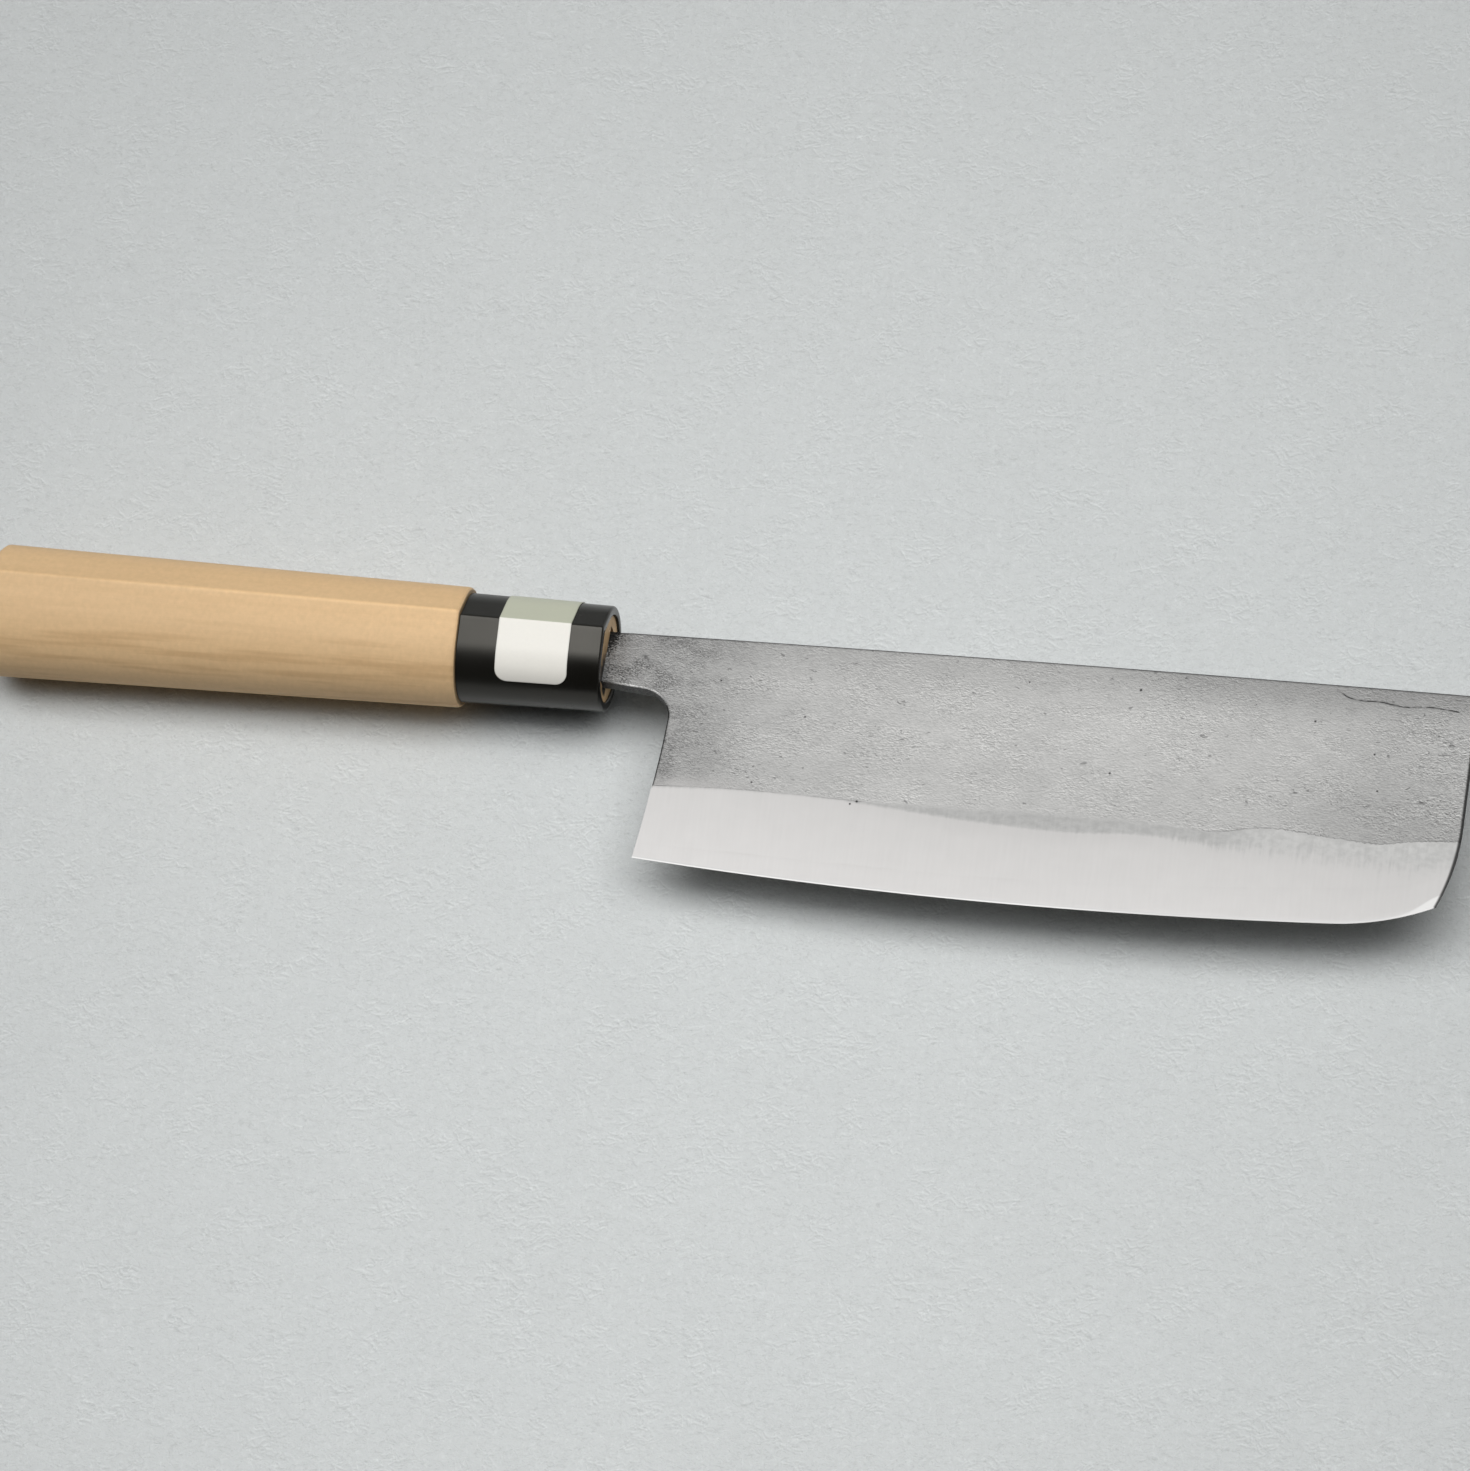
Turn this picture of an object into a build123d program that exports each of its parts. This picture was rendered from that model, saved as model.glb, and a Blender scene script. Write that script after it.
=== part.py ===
from build123d import *
import os
from math import acos, atan2, cos, degrees, hypot, radians, sin

# Nakiri knife: a forged blade of three layers, with its tang burnt into a handle of chestnut
# section. Lengths are in millimetres. +X runs from the butt to the front of the blade, +Y from
# the cutting edge to the spine, and +Z out of the blade's right face. The origin is on the
# table, under the middle of the knife's box. Sizes along the knife are counted from the mouth
# of the ferrule, and heights and drops from the axis of the handle.

# Handle: each section is an oval with a ridge on the right side
handle_length = 132
ferrule_length = 30
butt_height = 28.3
butt_thickness = 24.2
grip_front_height = 25.5
grip_front_thickness = 21.8
ferrule_back_height = 23
ferrule_back_thickness = 19.7
mouth_height = 22.2
mouth_thickness = 19
ridge_up_share = 0.2
ridge_out_share = 1.1
oval_arcs = 10
butt_chamfer = 1.8
grip_front_chamfer = 0.7
mouth_rounding = 1.1
mouth_rounding_steps = 4
ferrule_wall = 2.3
tenon_setback = 1.2
tenon_clearance = 0.08

# Blade outline
blade_reach = 177.6
spine_neck_height = 5.35
spine_middle_height = 6.45
spine_front_height = 6.7
neck_start = 1.5
neck_drop = 6.1
throat_x = 14.4
throat_drop = 7.4
throat_radius = 8.2
heel_x = 11.65
heel_drop = 43.55
belly_x = 92
belly_drop = 46.65
roll_setback = 23.6
roll_drop = 44.9
tip_setback = 3.3
tip_drop = 39.55
front_straight_drop = 22

# Blade thickness, layers and grinding
neck_thickness = 3.8
spine_front_thickness = 1.8
heel_grind_thickness = 3
grind_heel_drop = 29.4
grind_front_drop = 26.6
core_thickness = 0.8
edge_bevel_height = 0.9
edge_bevel_thickness = 0.26
edge_thickness = 0.08
eased_edge = 0.35
edge_station_shares = (0, 0.35, 0.7)
cut_overrun = 4

# Tang and the slot burnt for it
tang_length = 80
tang_step = 0.15
tang_end_height = 5
tang_end_thickness = 2.4
tang_end_rounding = 1.2
slot_clearance = 0.12
slot_end_gap = 2
slot_mouth_relief = 1.2
slot_relief_depth = 6

# Paper label, wrapped over the ridge of the ferrule
label_width = 15
label_setback = 6.7
label_thickness = 0.15
label_gap = 0.05
label_corner_radius = 2.5
label_right_angle = 144.7
label_back_angle = -12

# The box of the knife: the butt's chamfer keeps its largest section a little in front of it
grip_length = handle_length - ferrule_length
full_share = butt_chamfer / grip_length
full_height = butt_height + (grip_front_height - butt_height) * full_share
full_thickness = butt_thickness + (grip_front_thickness - butt_thickness) * full_share
mouth_centre = Vector(
    (handle_length - blade_reach) / 2, (belly_drop - full_height / 2) / 2, full_thickness / 2
)
blade_plane = Plane(mouth_centre)
across = Plane(mouth_centre, x_dir=(0, 1, 0), z_dir=(1, 0, 0))

# The flanks of the ridge touch the oval at these angles, counted from the spine side
ridge_angle = atan2(ridge_out_share, ridge_up_share)
ridge_spread = acos(1 / hypot(ridge_out_share, ridge_up_share))
right_flank_angle = degrees(ridge_angle + ridge_spread)
back_flank_angle = degrees(ridge_angle - ridge_spread)


def on_oval(height, thickness, angle):
    """The point of an oval at an angle counted from the spine side."""
    return (height / 2 * cos(radians(angle)), thickness / 2 * sin(radians(angle)))


def ridge_point(height, thickness):
    """The corner of the section, where its two flanks meet."""
    return (height / 2 * ridge_up_share, thickness / 2 * ridge_out_share)


def chestnut(height, thickness):
    """The handle's section: an oval with a ridge tangent to it."""
    sweep = (360 - degrees(2 * ridge_spread)) / oval_arcs
    with BuildSketch() as section:
        with BuildLine():
            for turn in range(oval_arcs):
                start = right_flank_angle + turn * sweep
                EllipticalCenterArc((0, 0), height / 2, thickness / 2, start, arc_size=sweep)
            Polyline(
                on_oval(height, thickness, back_flank_angle),
                ridge_point(height, thickness),
                on_oval(height, thickness, right_flank_angle),
            )
        make_face()
    return section.sketch


def ferrule_size(x, inset=0):
    """Height and thickness of the ferrule's section at x, drawn in by an inset all round."""
    share = -x / ferrule_length
    height = mouth_height + (ferrule_back_height - mouth_height) * share
    thickness = mouth_thickness + (ferrule_back_thickness - mouth_thickness) * share
    return height - 2 * inset, thickness - 2 * inset


# Blade outline: the cutting edge is three arcs that run on from each other
spine_middle = (blade_reach / 2, spine_middle_height)
neck_edge_middle = ((neck_start + throat_x - throat_radius) / 2, -neck_drop)
throat = (throat_x, -throat_drop)
heel = (heel_x, -heel_drop)
belly = (belly_x, -belly_drop)
roll = (blade_reach - roll_setback, -roll_drop)
tip = (blade_reach - tip_setback, -tip_drop)
with BuildSketch(blade_plane) as outline:
    with BuildLine():
        spine = ThreePointArc(
            (neck_start, spine_neck_height), spine_middle, (blade_reach, spine_front_height)
        )
        front = Line(spine @ 1, (blade_reach, -front_straight_drop))
        TangentArc(front @ 1, tip, tangent=front % 1)
        edge_back = TangentArc(belly, heel, tangent=(-1, 0))
        edge_middle = TangentArc(belly, roll, tangent=(1, 0))
        edge_front = TangentArc(edge_middle @ 1, tip, tangent=edge_middle % 1)
        TangentArc(throat, heel, tangent=(0, -1))
        Polyline(throat, (neck_start, -neck_drop), spine @ 0)
    make_face()
    fillet(outline.vertices().sort_by_distance(throat)[0], throat_radius)

# Each flat is one plane, which thins from the neck to the front and from the spine to the grind
neck_corner = Vector(neck_start, spine_neck_height, neck_thickness / 2)
front_corner = Vector(blade_reach, spine_front_height, spine_front_thickness / 2)
grind_corner = Vector(throat_x, -grind_heel_drop, heel_grind_thickness / 2)
flat_normal = (grind_corner - neck_corner).cross(front_corner - neck_corner).normalized()
right_flat = Plane(mouth_centre + neck_corner, z_dir=flat_normal)
left_flat = Plane(
    mouth_centre + neck_corner - Vector(0, 0, neck_thickness),
    z_dir=(flat_normal.X, flat_normal.Y, -flat_normal.Z),
)


def grind_point(x):
    """Where the flat ends and the bevel starts at x: its height and half the thickness there."""
    share = (x - throat_x) / (blade_reach - throat_x)
    y = -grind_heel_drop + (grind_heel_drop - grind_front_drop) * share
    fall = flat_normal.X * (x - neck_corner.X) + flat_normal.Y * (y - neck_corner.Y)
    return y, neck_corner.Z - fall / flat_normal.Z


# What the wheel grinds off the right face: a wide bevel, and a narrow one along the edge
edge_stations = [heel + (edge_back % 1) * cut_overrun]
edge_stations += [edge_back @ (1 - share) for share in edge_station_shares]
edge_stations += [edge_middle @ share for share in edge_station_shares]
edge_stations += [edge_front @ share for share in edge_station_shares]
edge_stations += [edge_front @ 1, edge_front @ 1 + (edge_front % 1) * cut_overrun]
with BuildPart() as right_grind:
    for point in edge_stations:
        grind_y, grind_z = grind_point(point.X)
        with BuildSketch(across.offset(point.X)):
            with BuildLine():
                Polyline(
                    (grind_y, grind_z),
                    (point.Y + edge_bevel_height, edge_bevel_thickness / 2),
                    (point.Y, edge_thickness / 2),
                    (point.Y - cut_overrun, edge_thickness / 2),
                    (point.Y - cut_overrun, neck_thickness),
                    (grind_y, neck_thickness),
                    close=True,
                )
            make_face()
    loft()

# The whole blade as ground, with its tang, before its layers are told apart
neck_height = spine_neck_height + neck_drop
neck_middle = (spine_neck_height - neck_drop) / 2
tang_thickness = neck_thickness - 2 * tang_step
with BuildPart() as blade:
    add(outline.sketch)
    extrude(amount=neck_thickness, both=True)
    split(bisect_by=right_flat, keep=Keep.BOTTOM)
    split(bisect_by=left_flat, keep=Keep.BOTTOM)
    eased = []
    for x, y in (spine_middle, neck_edge_middle, throat):
        for z in (neck_thickness / 2, -neck_thickness / 2):
            eased.append(blade.edges().sort_by_distance(mouth_centre + Vector(x, y, z))[0])
    chamfer(eased, eased_edge)
    add(right_grind.part, mode=Mode.SUBTRACT)
    add(right_grind.part.mirror(blade_plane), mode=Mode.SUBTRACT)
    with BuildSketch(across.offset(neck_start)):
        with Locations((neck_middle, 0)):
            Rectangle(neck_height, tang_thickness)
    with BuildSketch(across.offset(-tang_length)):
        Rectangle(tang_end_height, tang_end_thickness)
    loft()
    fillet(blade.edges().filter_by(Axis.Z).group_by(Axis.X)[0], tang_end_rounding)

# Hard core between two soft layers
core_right = blade_plane.offset(core_thickness / 2)
core_left = blade_plane.offset(-core_thickness / 2)
with BuildPart() as core_steel:
    add(blade.part)
    split(bisect_by=core_right, keep=Keep.BOTTOM)
    split(bisect_by=core_left, keep=Keep.TOP)
core_steel.part.label = "core_steel"

with BuildPart() as right_cladding:
    add(blade.part)
    split(bisect_by=core_right, keep=Keep.TOP)
right_cladding.part.label = "right_cladding"

with BuildPart() as left_cladding:
    add(blade.part)
    split(bisect_by=core_left, keep=Keep.BOTTOM)
left_cladding.part.label = "left_cladding"

# Wooden grip, with a tenon into the ferrule and a slot burnt to the shape of the tang
with BuildPart() as handle_grip:
    with BuildSketch(across.offset(-handle_length)):
        add(chestnut(butt_height, butt_thickness))
    with BuildSketch(across.offset(-ferrule_length)):
        add(chestnut(grip_front_height, grip_front_thickness))
    loft(ruled=True)
    chamfer(handle_grip.faces().sort_by(Axis.X)[0].edges(), butt_chamfer)
    chamfer(handle_grip.faces().sort_by(Axis.X)[-1].edges(), grip_front_chamfer)
    for x in (-ferrule_length, -tenon_setback):
        with BuildSketch(across.offset(x)):
            add(chestnut(*ferrule_size(x, ferrule_wall + tenon_clearance)))
    loft(ruled=True)
    with BuildSketch(across.offset(neck_start)):
        with Locations((neck_middle, 0)):
            Rectangle(neck_height + 2 * slot_clearance, tang_thickness + 2 * slot_clearance)
    with BuildSketch(across.offset(-tang_length - slot_end_gap)):
        Rectangle(tang_end_height + 2 * slot_clearance, tang_end_thickness + 2 * slot_clearance)
    loft(mode=Mode.SUBTRACT)
    relief_middle = neck_middle + slot_mouth_relief / 2
    with BuildSketch(across.offset(-tenon_setback)):
        with Locations((relief_middle, 0)):
            Rectangle(neck_height + slot_mouth_relief, tang_thickness + 2 * slot_clearance)
    with BuildSketch(across.offset(-tenon_setback - slot_relief_depth)):
        with Locations((neck_middle, 0)):
            Rectangle(tang_end_height, tang_end_thickness)
    loft(mode=Mode.SUBTRACT)
handle_grip.part.label = "handle_grip"

# Black ferrule, rounded at its mouth in a few even steps
with BuildPart() as ferrule:
    with BuildSketch(across.offset(-ferrule_length)):
        add(chestnut(*ferrule_size(-ferrule_length)))
    for step in range(mouth_rounding_steps + 1):
        turn = radians(90 * step / mouth_rounding_steps)
        x = -mouth_rounding * (1 - sin(turn))
        inset = mouth_rounding * (1 - cos(turn))
        with BuildSketch(across.offset(x)):
            add(chestnut(*ferrule_size(x, inset)))
    loft(ruled=True)
    for x in (-ferrule_length, 0):
        with BuildSketch(across.offset(x)):
            add(chestnut(*ferrule_size(x, ferrule_wall)))
    loft(ruled=True, mode=Mode.SUBTRACT)
ferrule.part.label = "ferrule"


def label_band(x):
    """The label's section at x: a band that runs over the ridge."""
    sides = []
    with BuildSketch() as band:
        with BuildLine():
            for inset in (-label_gap, -label_gap - label_thickness):
                height, thickness = ferrule_size(x, inset)
                right_sweep = label_right_angle - right_flank_angle
                back_sweep = back_flank_angle - label_back_angle
                right = EllipticalCenterArc(
                    (0, 0), height / 2, thickness / 2, right_flank_angle, arc_size=right_sweep
                )
                back = EllipticalCenterArc(
                    (0, 0), height / 2, thickness / 2, label_back_angle, arc_size=back_sweep
                )
                Polyline(right @ 0, ridge_point(height, thickness), back @ 1)
                sides.append((right @ 1, back @ 0))
            for inner_end, outer_end in zip(*sides):
                Line(inner_end, outer_end)
        make_face()
    return band.sketch


def label_end(angle, along):
    """The plane that lies on the ferrule where the label ends, with its y axis into the label."""
    x = -label_setback - label_width / 2
    height, thickness = ferrule_size(x)
    y, z = on_oval(height, thickness, angle)
    outward = Vector(0, cos(radians(angle)) / height, sin(radians(angle)) / thickness)
    return Plane(mouth_centre + Vector(x, y, z), x_dir=(along, 0, 0), z_dir=outward)


with BuildPart() as label:
    for x in (-label_setback - label_width, -label_setback):
        with BuildSketch(across.offset(x)):
            add(label_band(x))
    loft(ruled=True)
    for end in (label_end(label_right_angle, 1), label_end(label_back_angle, -1)):
        with BuildSketch(end):
            Rectangle(label_width, label_corner_radius, align=(Align.CENTER, Align.MIN))
            RectangleRounded(
                label_width,
                label_width,
                label_corner_radius,
                align=(Align.CENTER, Align.MIN),
                mode=Mode.SUBTRACT,
            )
        extrude(amount=label_corner_radius / 2, both=True, mode=Mode.SUBTRACT)
label.part.label = "label"

os.makedirs("parts", exist_ok=True)
for piece in (core_steel, right_cladding, left_cladding, handle_grip, ferrule, label):
    export_step(piece.part, f"parts/{piece.part.label}.step")
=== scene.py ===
"""Looks of a nakiri knife: forged and ground blade, chestnut handle, ferrule, label and stage."""
from math import acos, atan2, cos, hypot, pi, radians, sin

import bmesh
import bpy
import numpy as np
from bpy.props import FloatProperty, FloatVectorProperty, IntProperty, PointerProperty
from mathutils import Matrix, Vector, noise
from mathutils.geometry import delaunay_2d_cdt


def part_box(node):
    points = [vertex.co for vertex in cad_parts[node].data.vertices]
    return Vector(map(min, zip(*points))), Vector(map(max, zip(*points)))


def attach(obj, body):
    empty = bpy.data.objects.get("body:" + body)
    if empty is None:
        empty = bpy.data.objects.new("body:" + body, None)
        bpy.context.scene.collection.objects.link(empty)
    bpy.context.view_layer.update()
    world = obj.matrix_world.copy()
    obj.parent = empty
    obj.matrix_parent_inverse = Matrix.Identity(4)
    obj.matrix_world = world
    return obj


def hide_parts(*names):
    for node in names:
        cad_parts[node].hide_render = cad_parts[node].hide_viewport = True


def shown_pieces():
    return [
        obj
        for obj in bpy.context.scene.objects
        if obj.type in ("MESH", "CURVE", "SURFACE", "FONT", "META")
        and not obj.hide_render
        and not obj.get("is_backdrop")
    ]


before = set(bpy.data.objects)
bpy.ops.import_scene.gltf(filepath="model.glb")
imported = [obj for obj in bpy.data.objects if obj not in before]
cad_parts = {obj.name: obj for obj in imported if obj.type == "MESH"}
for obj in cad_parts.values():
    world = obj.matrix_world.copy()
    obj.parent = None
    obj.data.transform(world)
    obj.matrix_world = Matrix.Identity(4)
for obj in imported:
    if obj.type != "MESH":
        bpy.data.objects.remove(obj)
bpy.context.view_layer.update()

bl_info = {
    "name": "Nakiri Knife",
    "version": (1, 0, 0),
    "blender": (4, 5, 0),
    "location": "3D View > Sidebar > Nakiri",
    "description": "Dresses a laminated vegetable knife on its packed frame",
    "category": "Add Mesh",
}

BODY = "root"
MM = 0.001

# The middle of the ferrule's mouth, from which all places below are counted, in millimetres
ferrule_low, ferrule_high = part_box("ferrule")
core_low, core_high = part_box("core_steel")
grip_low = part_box("handle_grip")[0]
label_low, label_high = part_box("label")
MOUTH = Vector((ferrule_high.x, (ferrule_low.y + ferrule_high.y) / 2, (core_low.z + core_high.z) / 2))
BLADE_REACH = (core_high.x - MOUTH.x) / MM
TANG_LENGTH = (MOUTH.x - core_low.x) / MM
HANDLE_LENGTH = (MOUTH.x - grip_low.x) / MM
FERRULE_LENGTH = (MOUTH.x - ferrule_low.x) / MM
LABEL_WIDTH = (label_high.x - label_low.x) / MM
LABEL_SETBACK = (MOUTH.x - label_high.x) / MM
HALF_CORE = (core_high.z - core_low.z) / 2 / MM
LAYER_OVERLAP = 0.03
HIDDEN_HALF = HALF_CORE - LAYER_OVERLAP

# Blade outline, as x from the mouth and y from the handle's axis
NECK_START = 1.5
NECK_TOP = 5.35
SPINE_MIDDLE = 6.45
SPINE_POINTS = ((NECK_START, NECK_TOP), (BLADE_REACH / 2, SPINE_MIDDLE), (BLADE_REACH, 6.7))
NECK_EDGE = (NECK_START, -6.1)
THROAT = (14.4, -7.4)
THROAT_RADIUS = 6.3
HEEL = (11.65, -43.55)
BELLY = (92, -46.65)
ROLL = (BLADE_REACH - 23.6, -44.9)
TIP = (BLADE_REACH - 3.3, -39.55)
FRONT_LOW = (BLADE_REACH, -22)
TANG_END_HALF_HEIGHT = 2.5
TANG_END_SETBACK = 1.2

# Half thicknesses of the blade
NECK_HALF = 1.9
FRONT_HALF = 0.9
GRIND_HALF = 1.5
TANG_HALF = 1.75
SHOULDER_RUN = 2.5
TANG_END_HALF = 1.2
THINNEST_HALF = 0.6 * HALF_CORE
EDGE_HALF = 0.04
EDGE_BEVEL_HALF = 0.13
EDGE_BEVEL = 0.5
TIP_BEVEL = 2.4
TIP_BEVEL_SPAN = 9
EASED_EDGE = 0.35
EASED_ROWS = (0.06, 0.18, 0.36, 0.8)

# Spacing of the blade's mesh, and how far its points stay from the outline and from the lines in it
FACE_STEPS = (0.75, 0.5)
BEVEL_STEPS = (1.3, 1.1)
TANG_STEPS = (6, 2)
STRIP_STEPS = (0.9, 0.8)
FACE_GAP = 0.9
STRIP_GAP = 0.4
GRIND_GAP = 0.25
HONE_GAP = 0.2
ROW_GAP = 0.045
LINE_GAP = 0.3
CREASE_GAP = 0.6
PIT_GAP = 0.7

# Where the forged skin ends, and where the ground bevel starts
FORGED_END = (
    (10, -28), (32, -27.1), (52, -27.4), (75, -27.9), (98, -27.2), (112, -27.4), (131, -27.1),
    (137, -25.9), (153, -26.7), (162, -27.1), (168, -26), (178, -25.1),
)
GROUND_START = (
    (10, -28.2), (32, -27.2), (52, -27.5), (67, -28.7), (81, -29.7), (100, -30.2), (113, -29.4),
    (133, -30.2), (148, -30), (161, -31), (172, -30.6), (178, -29),
)
GRIND_AT_HEEL = GROUND_START[0][1]

# Marks left by the forging: pits as x, y and radius, and one crease below the spine
PITS = (
    (103.3, 4, 0.45), (109.6, 2, 0.4), (86.9, 1.7, 0.22), (105.8, -16.8, 0.35), (55.7, -27.6, 0.36),
    (54.4, -28.3, 0.25), (33.5, -21.9, 0.2), (33.7, -25.4, 0.3), (24, -3.6, 0.25), (42.4, -10, 0.3),
    (145.5, -1.7, 0.3), (158.2, -7.9, 0.26), (159.7, -15.8, 0.24), (43.7, -21.3, 0.2), (172.7, -7.9, 0.22),
)
CREASE = ((149.1, 5.6), (151.3, 4.2), (153.8, 3.7), (157.6, 3.7), (162.9, 3), (167.7, 3.4), (173.7, 2.9))
CREASE_DEPTH_SHARE = 0.85
CREASE_HALF_WIDTH = 0.27

# Handle sections, as height and thickness, and where their ridge is, as shares of their halves
BUTT = np.array((28.3, 24.2))
GRIP_FRONT = np.array((25.5, 21.8))
FERRULE_BACK = np.array((23, 19.7))
FERRULE_MOUTH = np.array((22.2, 19))
RIDGE = np.array((0.2, 1.1))
FERRULE_RIDGE_SOFTNESS = 0.3
BUTT_CHAMFER = 2.6
FERRULE_WALL = 1.8
FERRULE_BACK_EDGE = 0.12
MOUTH_ROUNDING = 0.6
BORE_ROUNDING = 0.25
TENON_SETBACK = 0.5
TENON_CLEARANCE = 0.08
SLOT_RELIEF = 1.2
SLOT_DEPTH = 14
SLOT_GAP_BELOW = 0.25
SLOT_GAP_BESIDE = 0.15
WAVE_LENGTH = 24

# Eased corners of the grip, as steps along it and insets
CHAMFER_BACK = ((0, 0.25), (0.06, 0.15), (0.2, -0.12))
CHAMFER_FRONT = ((-0.35, 0.4), (0.05, 0.1), (0.5, 0))
GRIP_FRONT_EDGE = ((0.75, 0.04), (0.42, 0.16), (0.17, 0.38), (0.04, 0.62), (0.01, 0.9))

# Label, wrapped over the ridge between two angles of the oval
LABEL_THICKNESS = 0.15
LABEL_GAP = 0.05
LABEL_CORNER = 2.5
LABEL_COLUMNS = 12
LABEL_RIGHT_ANGLE = radians(144.7)
LABEL_BACK_ANGLE = radians(-12)

# Tones of the steel and the wood, each from one place to another and from one tone to another
SKIN_TONES_ALONG = ((5, 40, 0.77, 0.97), (26, 62, 0.97, 1.05), (100, 172, 1, 0.9))
SKIN_TONES_BELOW_SPINE = ((-1, 12, 0.8, 0.95), (8, 36, 1, 0.98))
# Painted shade along the spine, neck and heel edges
PAINTED_RIM_SHADE = ((0.2, 0.7, 0.68, 1), (0, 0.05, 0.62, 1))
BEVEL_TONES_ALONG = ((10, 90, 1.03, 1), (120, 178, 1, 0.965))
WORN_WOOD_TONES = ((0, 0.5, 1, 1.06), (0.5, 1, 1, 0.42))
# Painted shade towards the butt, lighter towards the front
PAINTED_GRIP_FALLOFF = (0.97, 1.01)
# Painted highlight down the grip's upper side, from the butt to the front
PAINTED_SIDE_HIGHLIGHT = (1.03, 1.16)

# Roughness and bump, and the colours that a user wouldn't change
SHARP_ANGLE = radians(32)
GRIP_SHARP_ANGLE = radians(38)
LABEL_SHARP_ANGLE = radians(40)
FORGED_ROUGHNESS = 0.7
GROUND_ROUGHNESS = 0.64
HONED_ROUGHNESS = 0.6
LABEL_ROUGHNESS = 0.42
FLOOR_ROUGHNESS = 0.9
FORGED_BUMP = 0.13
SATIN_BUMP = 0.004
WOOD_BUMP = 0.02
FERRULE_BUMP = 0.02
LABEL_BUMP = 0.012
FLOOR_BUMP = 0.3
FERRULE_IOR = 1.52
FERRULE_GLOSS = (1, 0.955, 0.87, 1)
WOOD_GLOSS_LEVEL = 0.35
FLOOR_GLOSS_LEVEL = 0.2
CHARRED = (0.012, 0.009, 0.007)
DUST = (0.03, 0.03, 0.03)
FACET_TINT = (0.585, 0.617, 0.529)
ROOM_TINT = (0.97, 0.985, 1)

# Centre of the pool of light painted on the floor, in metres, and how fast the painted shade deepens round it
PAINTED_LIGHT_PLACE = (0.01, -0.09, 0)
PAINTED_LIGHT_FALLOFF = (7, 5, 0)
FLOOR_HALF_SIZE = 4

# Camera, from the photograph's perspective
CAMERA_PLACE = MOUTH + Vector((352.602, -663.257, 1450.037)) * MM
CAMERA_RIGHT = Vector((0.9765, 0.1559, -0.1486))
CAMERA_UP = Vector((-0.08, 0.9032, 0.4218))
CAMERA_LENS = 195.8
CAMERA_SENSOR = 36

# Overhead light: its height, and its reach to the front, back and sides as shares of its height
PANEL_HEIGHT = 1.2
PANEL_FRONT, PANEL_BACK, PANEL_SIDE = -0.13, 0.34, 0.8
GLOW_FRONT, GLOW_BACK, GLOW_SIDE = -0.5, 0.74, 1.3


# Properties that a user would change


class BladeLooks(bpy.types.PropertyGroup):
    """Relief and colours of the blade's steel."""
    relief: FloatProperty(
        name="Forging Relief", description="Depth of the forged skin's unevenness",
        default=0.07 * MM, min=0, soft_max=MM, precision=5, unit="LENGTH", subtype="DISTANCE")
    pit_depth: FloatProperty(
        name="Pit Depth", description="Depth of the pits that the forging left",
        default=0.14 * MM, min=0, soft_max=MM, precision=5, unit="LENGTH", subtype="DISTANCE")
    forged_color: FloatVectorProperty(
        name="Forged Skin", description="Colour of the steel above the grind",
        default=(0.605, 0.597, 0.588), min=0, max=1, subtype="COLOR")
    band_color: FloatVectorProperty(
        name="Grind Border", description="Colour of the dark border above the bevel",
        default=(0.49, 0.484, 0.477), min=0, max=1, subtype="COLOR")
    ground_color: FloatVectorProperty(
        name="Ground Bevel", description="Colour of the satin bevel",
        default=(0.568, 0.553, 0.546), min=0, max=1, subtype="COLOR")
    edge_color: FloatVectorProperty(
        name="Cutting Edge", description="Colour of the honed edge",
        default=(0.54, 0.532, 0.526), min=0, max=1, subtype="COLOR")


class HandleLooks(bpy.types.PropertyGroup):
    """Shape and colours of the grip, the ferrule and the label."""
    wobble: FloatProperty(
        name="Hand Finish", description="Unevenness that hand sanding leaves on the grip",
        default=0.12 * MM, min=0, soft_max=MM, precision=5, unit="LENGTH", subtype="DISTANCE")
    ridge_softness: FloatProperty(
        name="Ridge Softness", description="How far the grip's ridge is rounded to each side",
        default=0.35 * MM, min=0.1 * MM, soft_max=3 * MM, precision=5, unit="LENGTH", subtype="DISTANCE")
    seed: IntProperty(name="Seed", description="Pattern of the grip's unevenness", default=7, min=0)
    light_wood: FloatVectorProperty(
        name="Light Wood", description="Colour of the wood between its grain lines",
        default=(0.7, 0.476, 0.257), min=0, max=1, subtype="COLOR")
    dark_wood: FloatVectorProperty(
        name="Dark Wood", description="Colour of the wood's grain lines",
        default=(0.5, 0.31, 0.148), min=0, max=1, subtype="COLOR")
    ferrule_color: FloatVectorProperty(
        name="Ferrule", description="Colour of the ferrule",
        default=(0.0023, 0.002, 0.0013), min=0, max=1, subtype="COLOR")
    paper_color: FloatVectorProperty(
        name="Label Paper", description="Colour of the blank label",
        default=(0.86, 0.83, 0.76), min=0, max=1, subtype="COLOR")


class StageLooks(bpy.types.PropertyGroup):
    """Floor and lamps round the knife."""
    floor_color: FloatVectorProperty(
        name="Floor", description="Colour of the paper that the knife lies on",
        default=(0.648, 0.664, 0.656), min=0, max=1, subtype="COLOR")
    floor_pitch: FloatProperty(
        name="Floor Pitch", description="How far the floor rises towards the tip",
        default=radians(-0.8), unit="ROTATION", subtype="ANGLE")
    floor_roll: FloatProperty(
        name="Floor Roll", description="How far the floor rises towards the cutting edge",
        default=0, unit="ROTATION", subtype="ANGLE")
    panel_strength: FloatProperty(
        name="Overhead Light", description="Strength of the soft light above the knife",
        default=2.45, min=0, subtype="FACTOR")
    glow_strength: FloatProperty(
        name="Glow", description="Strength of the softer light round the one above the knife",
        default=2, min=0, subtype="FACTOR")
    room_strength: FloatProperty(
        name="Room Light", description="Strength of the light from the room",
        default=0.06, min=0, subtype="FACTOR")


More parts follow.
